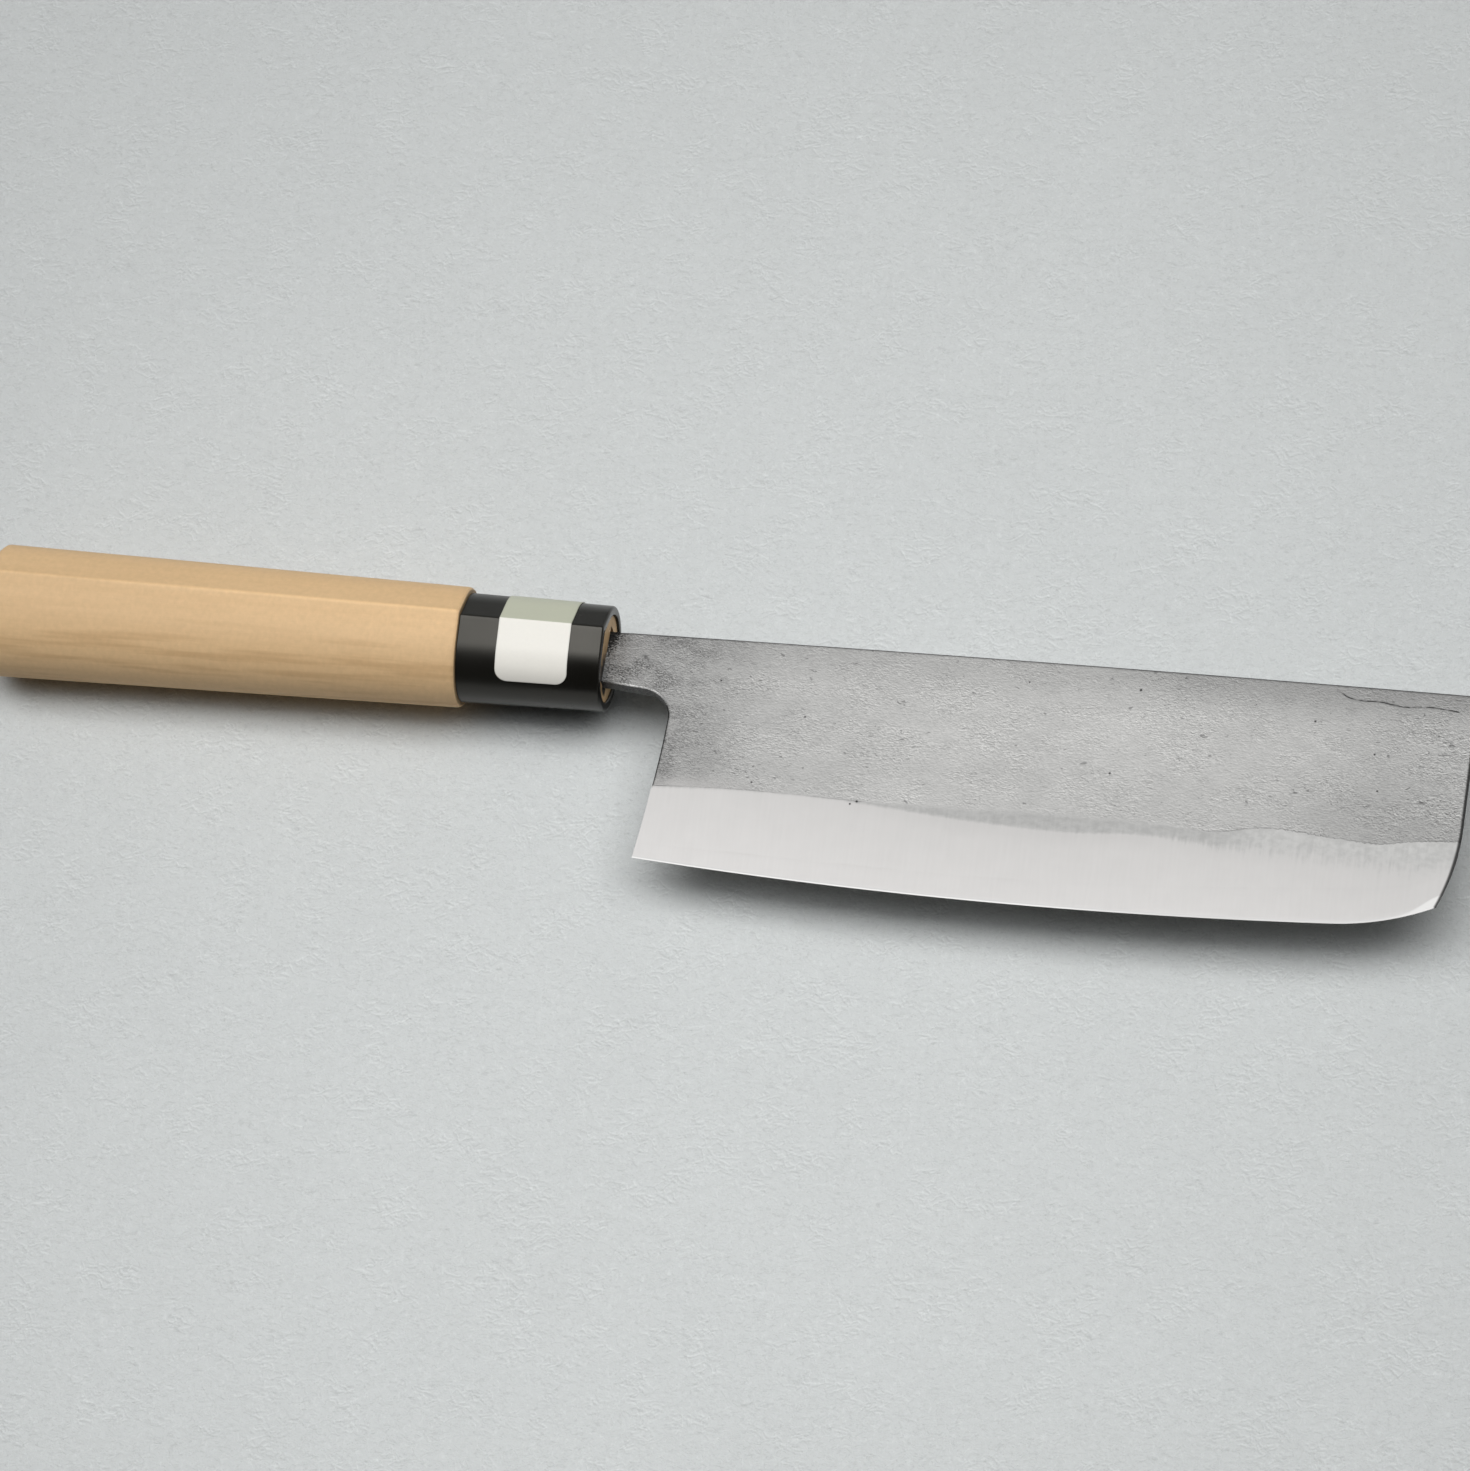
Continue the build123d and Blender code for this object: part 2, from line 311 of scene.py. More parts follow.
class NakiriLooks(bpy.types.PropertyGroup):
    """Everything that a user would change."""
    blade: PointerProperty(type=BladeLooks)
    handle: PointerProperty(type=HandleLooks)
    stage: PointerProperty(type=StageLooks)


# Lines and areas in the blade's plane


def smooth(value, low, high):
    """0 below low, 1 above high, and a smooth step between."""
    share = np.clip((value - low) / (high - low), 0, 1)
    return share * share * (3 - 2 * share)


def line_through(points, x):
    """Heights at x of the smooth line through points, which are sorted by x."""
    knots, heights = np.array(points, float).T
    slopes = np.gradient(heights, knots)
    index = np.clip(np.searchsorted(knots, x) - 1, 0, len(knots) - 2)
    span = knots[index + 1] - knots[index]
    t = np.clip((x - knots[index]) / span, 0, 1)
    rise = heights[index] * (1 + 2 * t) * (1 - t) ** 2 + heights[index + 1] * t * t * (3 - 2 * t)
    return rise + span * (slopes[index] * t * (1 - t) ** 2 - slopes[index + 1] * t * t * (1 - t))


def round_arc(centre, start, end, spacing):
    """Points of the shorter arc round centre from start to end."""
    first, last = np.subtract(start, centre), np.subtract(end, centre)
    from_angle = atan2(first[1], first[0])
    sweep = (atan2(last[1], last[0]) - from_angle + pi) % (2 * pi) - pi
    radius = hypot(*first)
    count = max(int(abs(sweep) * radius / spacing), 2)
    angles = from_angle + sweep * np.linspace(0, 1, count + 1)
    return np.add(centre, radius * np.column_stack((np.cos(angles), np.sin(angles))))


def tangent_arc(start, direction, end, spacing):
    """Points of the arc that leaves start along a direction and reaches end."""
    start, end = np.array(start, float), np.array(end, float)
    normal = np.array((-direction[1], direction[0]), float) / hypot(*direction)
    chord = end - start
    centre = start + normal * (chord @ chord) / (2 * chord @ normal)
    return round_arc(centre, start, end, spacing)


def straight(start, end, spacing):
    """Evenly spaced points from start to end."""
    count = max(int(hypot(*np.subtract(end, start)) / spacing), 1)
    return np.linspace(start, end, count + 1)


def inward(line, gap):
    """The line moved to its right by a gap."""
    along = np.gradient(line, axis=0)
    along /= np.hypot(*along.T)[:, None]
    return line + gap * np.column_stack((along[:, 1], -along[:, 0]))


def distance_to(points, line):
    """Shortest distance of each point to a line of short pieces."""
    start, step = line[:-1], np.diff(line, axis=0)
    length = (step ** 2).sum(1)
    result = []
    for block in np.array_split(points, max(len(points) // 2000, 1)):
        offset = block[:, None] - start[None]
        t = np.clip((offset * step).sum(2) / length, 0, 1)
        result.append(np.hypot(*(offset - t[..., None] * step).transpose(2, 0, 1)).min(1))
    return np.concatenate(result)


class BladePlan:
    """The blade seen from its side: outline, lines on it, and half thickness at each point."""

    rough = 0.9
    fine = 0.6

    def __init__(self):
        throat_turn = self.throat_fillet()
        edge_middle = tangent_arc(BELLY, (1, 0), ROLL, self.fine)
        edge_front = tangent_arc(ROLL, edge_middle[-1] - edge_middle[-2], TIP, self.fine)
        edge_back = tangent_arc(BELLY, (-1, 0), HEEL, self.fine)
        spine_x = np.linspace(NECK_START, BLADE_REACH, int(BLADE_REACH / self.rough))
        self.spine_fit = np.polyfit(*np.array(SPINE_POINTS, float).T, 2)
        self.spine = np.column_stack((spine_x, np.polyval(self.spine_fit, spine_x)))
        self.front = np.vstack((
            straight(self.spine[-1], FRONT_LOW, self.fine)[1:],
            tangent_arc(FRONT_LOW, (0, -1), TIP, self.fine)[1:],
        ))
        self.edge = np.vstack((edge_back[::-1], edge_middle[1:], edge_front[1:]))
        self.heel = tangent_arc(THROAT, (0, -1), HEEL, self.fine)[::-1]
        above_fillet = self.heel[:, 1] < throat_turn[0, 1]
        self.heel = np.vstack((self.heel[above_fillet], throat_turn))
        self.neck = straight(self.heel[-1], NECK_EDGE, self.fine)[1:]
        end, shoulder, half = -TANG_LENGTH, -TANG_LENGTH + TANG_END_SETBACK, TANG_END_HALF_HEIGHT
        self.tang = np.vstack((
            straight(NECK_EDGE, (shoulder, -half), 4)[1:],
            ((end, -half + TANG_END_SETBACK), (end, half - TANG_END_SETBACK)),
            straight((shoulder, half), self.spine[0], 4)[:-1],
        ))
        front_direction = edge_front[-1] - edge_front[-2]
        back_direction = edge_back[-1] - edge_back[-2]
        self.edge_line = np.vstack((
            HEEL + back_direction / abs(back_direction[0]) * THROAT[0],
            self.edge,
            TIP + front_direction / abs(front_direction[0]) * (BLADE_REACH - TIP[0]) * 2,
        ))
        neck = np.array((NECK_START, NECK_TOP, NECK_HALF))
        front = np.array((BLADE_REACH, SPINE_POINTS[-1][1], FRONT_HALF))
        grind = np.array((THROAT[0], GRIND_AT_HEEL, GRIND_HALF))
        self.flat_corner = neck
        self.flat_normal = np.cross(grind - neck, front - neck)

    def throat_fillet(self):
        """The round between the neck's lower edge and the heel's arc."""
        drop = np.subtract(HEEL, THROAT)
        heel_radius = (drop @ drop) / (-2 * drop[0])
        heel_centre = np.array((THROAT[0] - heel_radius, THROAT[1]))
        along = np.subtract(THROAT, NECK_EDGE)
        along = along / hypot(*along)
        below = np.array((along[1], -along[0]))
        base = np.subtract(NECK_EDGE, heel_centre) + below * THROAT_RADIUS
        half = base @ along
        reach = -half + np.sqrt(half ** 2 - base @ base + (heel_radius - THROAT_RADIUS) ** 2)
        centre = np.array(NECK_EDGE) + below * THROAT_RADIUS + along * reach
        outward = (centre - heel_centre) / hypot(*(centre - heel_centre))
        return round_arc(centre, heel_centre + outward * heel_radius, centre - below * THROAT_RADIUS, 0.5)

    def edge_height(self, x):
        """Height of the cutting edge at x, carried on past the heel and the tip."""
        return np.interp(x, *self.edge_line.T)

    def edge_bevel(self, x):
        """Height of the honed bevel, which widens towards the tip."""
        return EDGE_BEVEL + (TIP_BEVEL - EDGE_BEVEL) * smooth(x, TIP[0] - TIP_BEVEL_SPAN, TIP[0]) ** 2

    def flat_half(self, x, y):
        """Half thickness of the flats."""
        corner, normal = self.flat_corner, self.flat_normal
        return corner[2] - (normal[0] * (x - corner[0]) + normal[1] * (y - corner[1])) / normal[2]

    def half_thickness(self, x, y):
        """Half thickness of the blade before its relief."""
        grind = line_through(GROUND_START, x)
        honed = self.edge_height(x) + self.edge_bevel(x)
        edge = self.edge_height(x)
        flat = self.flat_half(x, y)
        bevel_share = (y - honed) / (grind - honed)
        bevel = EDGE_BEVEL_HALF + (self.flat_half(x, grind) - EDGE_BEVEL_HALF) * bevel_share
        honed_share = (y - edge) / (honed - edge)
        hone = EDGE_HALF + (EDGE_BEVEL_HALF - EDGE_HALF) * np.clip(honed_share, 0, None)
        half = np.where(y > grind, flat, np.where(y > honed, bevel, hone))
        tang_share = np.clip((NECK_START - x) / (NECK_START + TANG_LENGTH), 0, 1)
        tang = TANG_HALF + (TANG_END_HALF - TANG_HALF) * tang_share
        shoulder = (NECK_HALF - TANG_HALF) * (1 - smooth(x, NECK_START, NECK_START + SHOULDER_RUN))
        return np.where(x < NECK_START, np.minimum(tang, half), half - shoulder)

    def layer_line(self):
        """Where the bevel cuts through to the core, from the heel to the front."""
        x = np.linspace(HEEL[0] - 1, BLADE_REACH + 1, 260)
        grind = line_through(GROUND_START, x)
        honed = self.edge_height(x) + self.edge_bevel(x)
        share = (HALF_CORE - EDGE_BEVEL_HALF) / (self.flat_half(x, grind) - EDGE_BEVEL_HALF)
        return np.column_stack((x, honed + (grind - honed) * share))


def cross_index(line, cut):
    """Where a line of the outline passes a cutting line: the place in it and the point itself."""
    above = line[:, 1] > np.interp(line[:, 0], *cut.T)
    index = int(np.argmax(above[1:] != above[:-1]))
    start, end = line[index], line[index + 1]
    gap = [point[1] - np.interp(point[0], *cut.T) for point in (start, end)]
    return index + 1, start + (end - start) * gap[0] / (gap[0] - gap[1])


def triangles_inside(loop, lines, inner):
    """Points and triangles of the area inside a loop, with an edge along each line."""
    points, edges = [loop], []
    count = len(loop)
    for line in lines:
        edges += [(count + step, count + step + 1) for step in range(len(line) - 1)]
        points.append(line)
        count += len(line)
    points.append(inner)
    flat = [Vector(point) for point in np.vstack(points)]
    made, _, faces, origin, _, _ = delaunay_2d_cdt(flat, edges, [list(range(len(loop)))], 1, 1e-5)
    new_index = {old: new for new, olds in enumerate(origin) for old in olds}
    return np.array([tuple(point) for point in made]), faces, [new_index[old] for old in range(len(loop))]


def inside(points, loop):
    """Which points lie inside a loop."""
    result = np.zeros(len(points), bool)
    for (x0, y0), (x1, y1) in zip(loop, np.roll(loop, -1, axis=0)):
        if y0 != y1:
            crosses = (points[:, 1] > y0) != (points[:, 1] > y1)
            result ^= crosses & (points[:, 0] < x0 + (points[:, 1] - y0) * (x1 - x0) / (y1 - y0))
    return result


def spread(low, high, step_x, step_y):
    """Staggered points over a rectangle."""
    rows = np.arange(low[1], high[1], step_y)
    columns = np.arange(low[0], high[0], step_x)
    x, y = np.meshgrid(columns, rows)
    x[1::2] += step_x / 2
    return np.column_stack((x.ravel(), y.ravel()))


def closed(loop):
    """The loop with its first point again at the end."""
    return np.vstack((loop, loop[:1]))


def within(points, loop, gap):
    """The points that lie inside a loop, and farther than a gap from it."""
    points = points[inside(points, loop)]
    return points[distance_to(points, closed(loop)) > gap]


# Meshes


def placed(points):
    """Millimetres counted from the ferrule's mouth, as metres in the knife's frame."""
    return np.asarray(points, float) * MM + np.array(MOUTH)


def new_object(name, data):
    """An object in the scene with this mesh, curve, lamp or camera."""
    made = bpy.data.objects.new(name, data)
    bpy.context.scene.collection.objects.link(made)
    return made


def make_piece(name, points, faces, material, sharp_angle=SHARP_ANGLE):
    """A piece from points in millimetres, shaded smooth but for its sharp edges."""
    mesh = bpy.data.meshes.new(name)
    mesh.from_pydata(placed(points).tolist(), [], [list(map(int, face)) for face in faces])
    work = bmesh.new()
    work.from_mesh(mesh)
    bmesh.ops.recalc_face_normals(work, faces=work.faces)
    work.to_mesh(mesh)
    work.free()
    mesh.shade_smooth()
    mesh.set_sharp_from_angle(angle=sharp_angle)
    mesh.materials.append(material)
    return new_object(name, mesh)


def keep_values(piece, name, values):
    """A value at each vertex, for the piece's material."""
    layer = piece.data.attributes.new(name, "FLOAT", "POINT")
    layer.data.foreach_set("value", np.asarray(values, np.float32))


def on_body(piece, slot, *nodes):
    """The piece rides the knife's body and stands for these nodes."""
    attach(piece, BODY)
    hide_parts(*nodes)


def octaves(points, size, seed, detail=2):
    """Smooth noise, from -1 to 1, at points in millimetres, with its grain's size along x and y."""
    places = (Vector((x / size[0], y / size[1], seed)) for x, y in points)
    return np.array([noise.fractal(place, 1, 2, detail) for place in places])


def forged_relief(points, plan, depth, seed):
    """How much the forging and the grinding lower each point of a face."""
    x, y = points.T
    forged = smooth(y - line_through(FORGED_END, x), -0.8, 0.6) * (x > NECK_START)
    ground = smooth(plan.half_thickness(x, y), 0.2, 0.6) * (1 - forged)
    hollows = octaves(points, (16, 11), seed)
    patches = smooth(octaves(points, (13, 9), seed + 5), -0.3, 0.5)
    streaks = octaves(points, (2.6, 1.1), seed + 11, detail=3)
    waves = octaves(points, (14, 20), seed + 23)
    relief = forged * (0.5 + 0.45 * hollows + (0.12 + 0.25 * patches) * streaks)
    return (relief + ground * 0.12 * waves) * depth


def pit_lowering(points, depth):
    """How deep each point lies in a pit or in the crease, from 0 to 1, and how much that lowers it."""
    mark = np.zeros(len(points))
    for x, y, radius in PITS:
        distance = np.hypot(points[:, 0] - x, points[:, 1] - y)
        mark = np.maximum(mark, 1 - smooth(distance, 0.2 * radius, radius))
    near = (points[:, 0] > CREASE[0][0] - 1) & (points[:, 1] > 1)
    depth_share = 1 - smooth(distance_to(points[near], crease_line()), 0.03, CREASE_HALF_WIDTH)
    mark[near] = np.maximum(mark[near], CREASE_DEPTH_SHARE * depth_share)
    return mark, mark * depth


def crease_line():
    """The crease below the spine, as closely spaced points."""
    x = np.linspace(CREASE[0][0], CREASE[-1][0], 50)
    return np.column_stack((x, line_through(CREASE, x)))


def pit_points():
    """Points round each pit and beside the crease, so that the mesh can follow them."""
    points = []
    for x, y, radius in PITS:
        points.append((x, y))
        for share, count in ((0.5, 6), (1, 9), (1.5, 9)):
            for turn in range(count):
                angle = 2 * pi * (turn + share) / count
                points.append((x + share * radius * cos(angle), y + share * radius * sin(angle)))
    line = crease_line()
    for gap in (-0.5, -0.22, 0.22, 0.5):
        points += inward(line, gap).tolist()
    return np.array(points)


# Shader trees


class Nodes:
    """A node tree and short words for its nodes."""

    def __init__(self, tree):
        self.tree = tree

    def node(self, kind, inputs=(), **settings):
        """A node with its settings, and its inputs as values or sockets."""
        made = self.tree.nodes.new(kind)
        for name, value in settings.items():
            setattr(made, name, value)
        for name, value in dict(inputs).items():
            if isinstance(value, bpy.types.NodeSocket):
                self.tree.links.new(value, made.inputs[name])
            else:
                made.inputs[name].default_value = value
        return made

    def math(self, operation, first, second=0.0, third=0.0):
        """A sum, product or other operation on values."""
        return self.node("ShaderNodeMath", {0: first, 1: second, 2: third}, operation=operation).outputs[0]

    def total(self, first, *others):
        """The sum of values."""
        for value in others:
            first = self.math("ADD", first, value)
        return first

    def product(self, first, *others):
        """The product of values."""
        for value in others:
            first = self.math("MULTIPLY", first, value)
        return first

    def scaled(self, value, factor, start=1.0):
        """A value times a factor, counted from a start."""
        return self.math("MULTIPLY_ADD", value, factor, start)

    def steps(self, value, table):
        """The product of smooth steps, one for each row of a table."""
        return self.product(*(self.step(value, *row) for row in table))

    def step(self, value, low, high, start=0.0, end=1.0):
        """A smooth step of a value between two limits."""
        made = self.node("ShaderNodeMapRange", {
            "Value": value, "From Min": low, "From Max": high, "To Min": start, "To Max": end,
        }, interpolation_type="SMOOTHSTEP")
        return made.outputs["Result"]


class Finish(Nodes):
    """A material on the knife's own coordinates."""

    def __init__(self, name):
        self.material = bpy.data.materials.new(name)
        self.material.use_nodes = True
        super().__init__(self.material.node_tree)
        self.tree.nodes.clear()
        self.place = self.node("ShaderNodeTexCoord").outputs["Object"]

    def along_and_up(self):
        """Distances along the knife and up its height from the ferrule's mouth, in millimetres."""
        axes = self.node("ShaderNodeSeparateXYZ", {"Vector": self.place}).outputs
        starts = ("X", MOUTH.x), ("Y", MOUTH.y)
        return [self.math("DIVIDE", self.math("SUBTRACT", axes[axis], start), MM) for axis, start in starts]

    def grain(self, size, detail=3, roughness=0.5, turn=0, distortion=0, shift=(0, 0, 0)):
        """Noise whose grain has a size in millimetres along each axis, turned by degrees."""
        mapping = self.node("ShaderNodeMapping", {
            "Vector": self.place,
            "Location": [length * MM for length in shift],
            "Rotation": (0, 0, radians(turn)),
            "Scale": [length * MM for length in size],
        }, vector_type="TEXTURE")
        made = self.node("ShaderNodeTexNoise", {
            "Vector": mapping.outputs["Vector"], "Scale": 1, "Detail": detail,
            "Roughness": roughness, "Distortion": distortion,
        })
        return made.outputs["Fac"]

    def value(self, name):
        """An attribute of the piece."""
        return self.node("ShaderNodeAttribute", attribute_name=name).outputs["Fac"]

    def off_middle(self, value):
        """How far a noise value is from its middle."""
        return self.math("ABSOLUTE", self.math("SUBTRACT", value, 0.5))

    def mix(self, share, first, second, blend="MIX"):
        """A mix of two colours."""
        inputs = {0: share}
        for index, color in ((6, first), (7, second)):
            inputs[index] = color if isinstance(color, bpy.types.NodeSocket) else (*color[:3], 1)
        return self.node("ShaderNodeMix", inputs, data_type="RGBA", blend_type=blend).outputs[2]

    def shade(self, color, *factors):
        """A colour made lighter or darker by factors."""
        factor = self.product(*factors)
        grey = self.node("ShaderNodeCombineColor", {"Red": factor, "Green": factor, "Blue": factor})
        return self.mix(1.0, color, grey.outputs["Color"], "MULTIPLY")

    def bump(self, height, distance, normal=None):
        """A bump of a height in millimetres."""
        inputs = {"Height": height, "Distance": distance * MM, "Strength": 1.0}
        if normal is not None:
            inputs["Normal"] = normal
        return self.node("ShaderNodeBump", inputs).outputs["Normal"]

    def lit_wrinkles(self, size, shift):
        """Creases of a size, lit on one flank and shaded on the other, from -1 to 1."""
        flanks = []
        for moved in ((0, 0, 0), shift):
            folds = self.grain(size, detail=2, turn=-2, distortion=0.7, shift=moved)
            flanks.append(self.step(self.off_middle(folds), 0, 0.075))
        return self.math("SUBTRACT", *flanks)

    def surface(self, **values):
        """The material, with a shader that has these values or sockets as inputs."""
        inputs = {name.replace("_", " "): value for name, value in values.items()}
        shader = self.node("ShaderNodeBsdfPrincipled", inputs)
        self.node("ShaderNodeOutputMaterial", {"Surface": shader.outputs["BSDF"]})
        return self.material


def steel_finish(name, looks):
    """Forged skin, dark border, satin bevel and honed edge, laid out by the piece's own values."""
    finish = Finish(name)
    grain, value, mix, shade = finish.grain, finish.value, finish.mix, finish.shade
    total, product, scaled, step = finish.total, finish.product, finish.scaled, finish.step
    along, up = finish.along_and_up()
    below = finish.math("SUBTRACT", SPINE_MIDDLE, up)
    strokes = grain((0.8, 0.28, 0.28), detail=2, turn=-2, distortion=0.8)
    lumps = grain((2.2, 1.2, 1.2), detail=2, turn=-4, distortion=0.6)
    grit = grain((0.42, 0.26, 0.26), detail=2, roughness=0.6)
    rough_spots = grain((9, 5.5, 5.5))
    clouds = grain((24, 12, 12))
    wipes = grain((0.6, 8, 3), roughness=0.6)
    mottle = grain((5, 4, 4), detail=4, roughness=0.55)
    folds = grain((3.4, 1, 1), turn=-3, distortion=1.2)
    blots = grain((1.8, 1.3, 1.3), roughness=0.6)

    # Where the skin, the ground bevel and the hone begin, more frayed towards the front
    jitter = product(finish.math("SUBTRACT", wipes, 0.5), step(along, 105, 150, 0.5, 8))
    frayed_skin = scaled(jitter, 0.12, value("forged"))
    skin_line = step(frayed_skin, -0.25, 0.3)
    fade = product(step(along, 50, 82, 0.3, 1.9), step(along, 112, 130, 1, 0.16))
    skin = step(finish.math("DIVIDE", total(frayed_skin, 0.25), fade), 0, 1)
    softness = step(along, 110, 150, 0.7, 3.6)
    ground = step(finish.math("DIVIDE", total(value("ground"), jitter), softness), -0.5, 1)
    hone = step(value("hone"), -0.06, 0.06)

    # The skin is rougher at both ends; painted highlights and shade draw its small creases, and painted shade
    # darkens its cracks
    ends = finish.math("MAXIMUM", step(along, 8, 40, 1, 0), step(along, 140, 172))
    patches = product(step(rough_spots, 0.36, 0.62, 0.5, 1.05), scaled(ends, 0.45))
    # Random speckle, plus creases drawn with a painted highlight on one flank and painted shade on the other
    speckle_and_painted_relief = total(
        step(strokes, 0.3, 0.7, -0.1, 0.1),
        step(grit, 0.3, 0.7, -0.04, 0.04),
        product(finish.lit_wrinkles((1.3, 0.7, 0.7), (0.05, 0.2, 0)), 0.24),
        product(finish.lit_wrinkles((0.55, 0.38, 0.38), (0.03, 0.11, 0)), 0.26),
    )
    # Painted shade in thin cracks of the skin
    painted_crack_shade = product(step(finish.off_middle(folds), 0, 0.013, 0.33, 0), step(mottle, 0.5, 0.62))
    soot = product(step(grit, 0.46, 0.58), step(along, 2, 34, 0.62, 0.05), step(mottle, 0.4, 0.58))
    dirt = total(step(along, 0, 4, 1, 0), step(below, 2, 8, 0.6, 0), scaled(grit, 1.6, -0.8))
    corner = product(step(along, 138, 168), step(below, 14, 30))
    spine_front = product(step(along, 90, 125), step(below, 0, 7, 1, 0))
    rim = value("rim")
    # Painted highlight on the eased lower edge of the neck, near the mouth
    painted_throat_highlight = product(
        step(along, 1, 4), step(along, 11, 14, 1, 0), step(below, 9, 10),
        step(rim, 0, 0.12), step(rim, 0.3, 0.5, 1.6, 0),
    )
    forged_color = shade(
        looks.forged_color,
        finish.steps(below, SKIN_TONES_BELOW_SPINE), finish.steps(along, SKIN_TONES_ALONG),
        finish.steps(rim, PAINTED_RIM_SHADE), scaled(corner, -0.11), scaled(spine_front, -0.16),
        step(clouds, 0.3, 0.7, 0.97, 1.03), step(rough_spots, 0.36, 0.62, 0.95, 1.02),
        scaled(speckle_and_painted_relief, patches), step(lumps, 0.69, 0.74, 1, 0.6),
        scaled(painted_crack_shade, -1), scaled(soot, -1), step(dirt, 1.05, 1.5, 1, 0.12), scaled(painted_throat_highlight, 1),
    )
    haze = product(step(value("forged"), 0, 3.6, 0.7, 0), step(along, 16, 44, 1, 0.1))
    forged_color = mix(haze, forged_color, looks.ground_color)

    # The border, the bevel and the honed edge
    band_color = shade(
        looks.band_color, scaled(wipes, 0.18, 0.9),
        step(blots, 0.36, 0.62, 0.94, 1.03), step(along, 124, 142, 1, 1.14),
    )
    bevel_color = shade(
        looks.ground_color, scaled(total(mottle, wipes), 0.06, 0.94),
        step(value("ground"), 0, 17, 0.96, 1.04),
        step(value("ground"), 0, 4.5, step(along, 20, 90, 1, 0.955), 1),
        finish.steps(along, BEVEL_TONES_ALONG),
    )
    glint = step(value("hone"), 0.16, 0.34, 1, step(along, 90, 125, 1.3, 1.06))
    edge_color = shade(looks.edge_color, glint, step(along, 162, 174, 1, 1.1))
    rim_line = step(finish.off_middle(skin_line), 0.1, 0.5, step(along, 112, 130, 1, 0.92), 1)
    color = shade(mix(skin, band_color, forged_color), rim_line)
    color = mix(hone, mix(ground, color, bevel_color), edge_color)
    broken_marks = product(value("mark"), step(lumps, 0.36, 0.58, 0.25, 1))
    # Pits and the crease darker, and painted shade on the walls of the spine, the front and the heel
    color = shade(color, step(broken_marks, 0.05, 0.8, 1, 0.15), step(value("wall"), 0.1, 0.34, 0.12, 1))

    rough = step(ground, 0, 1, FORGED_ROUGHNESS, GROUND_ROUGHNESS)
    rough = step(hone, 0, 1, rough, HONED_ROUGHNESS)
    relief = total(product(patches, scaled(grit, 0.6, strokes)), product(lumps, 0.6))
    relief = product(scaled(ground, -1), relief, scaled(skin, 0.8, 0.2))
    normal = finish.bump(relief, FORGED_BUMP)
    normal = finish.bump(product(ground, wipes), SATIN_BUMP, normal)
    return finish.surface(Base_Color=color, Metallic=1.0, Roughness=rough, Normal=normal)


def wood_finish(looks):
    """Bare pale wood with fine straight grain, charred round the slot for the tang."""
    finish = Finish("bare_wood")
    total, product, scaled, step = finish.total, finish.product, finish.scaled, finish.step
    along, up = finish.along_and_up()
    rings = finish.grain((120, 4, 6), detail=2, distortion=0.3)
    lines = finish.grain((30, 0.9, 1.2), roughness=0.55)
    fibres = finish.grain((2.4, 0.22, 0.3), detail=2, roughness=0.6)
    flecks = finish.grain((1.1, 1.3, 1.3), roughness=0.6)
    clouds = finish.grain((16, 9, 9))
    veins = finish.grain((34, 1.8, 2.4), detail=2)
    dark_share = step(total(product(rings, 0.6), product(lines, 0.4)), 0.35, 0.75, 0.04, 0.24)
    streaks = product(step(veins, 0.46, 0.66, 0, 0.5), step(up, -10, -1, 1, 0.1))
    color = finish.mix(dark_share, looks.light_wood, looks.dark_wood)
    color = finish.mix(streaks, color, looks.dark_wood)

    # Painted highlight along the ridge, partly also wear, and down the upper side, stronger towards the
    # front; painted shade towards the butt; the worn front edge
    butt_to_front = -HANDLE_LENGTH, -FERRULE_LENGTH
    # Painted highlight down the upper side, stronger towards the front
    side_highlight = step(along, *butt_to_front, *PAINTED_SIDE_HIGHLIGHT)
    color = finish.shade(
        color, scaled(flecks, 0.21, scaled(total(fibres, clouds), 0.05, 0.84)),
        # Painted shade towards the butt
        step(along, *butt_to_front, *PAINTED_GRIP_FALLOFF),
        # Painted highlight along the ridge, partly also wear
        step(finish.value("ridge"), 0, 0.7, 1.09, 1), step(finish.value("side"), 1, 10, side_highlight, 1),
        finish.steps(finish.value("worn"), WORN_WOOD_TONES),
    )
    char = total(finish.value("char"), scaled(flecks, 0.5, -0.25))
    return finish.surface(
        Base_Color=finish.mix(step(char, 0.3, 0.75), color, CHARRED),
        Roughness=scaled(fibres, 0.14, 0.5),
        Normal=finish.bump(total(fibres, flecks), WOOD_BUMP),
        Specular_IOR_Level=WOOD_GLOSS_LEVEL)


def ferrule_finish(looks):
    """Polished black, with faint wear and dust."""
    finish = Finish("polished_black")
    haze = finish.grain((7, 5, 5))
    specks = finish.step(finish.grain((0.35, 0.35, 0.35), detail=2), 0.66, 0.78, 0, 0.35)
    worn = finish.step(finish.along_and_up()[0], -FERRULE_LENGTH, 0, 0.28, 0.2)
    return finish.surface(
        Base_Color=finish.mix(specks, looks.ferrule_color, DUST),
        Roughness=finish.scaled(haze, 0.1, worn),
        Normal=finish.bump(haze, FERRULE_BUMP),
        IOR=FERRULE_IOR, Specular_Tint=FERRULE_GLOSS)


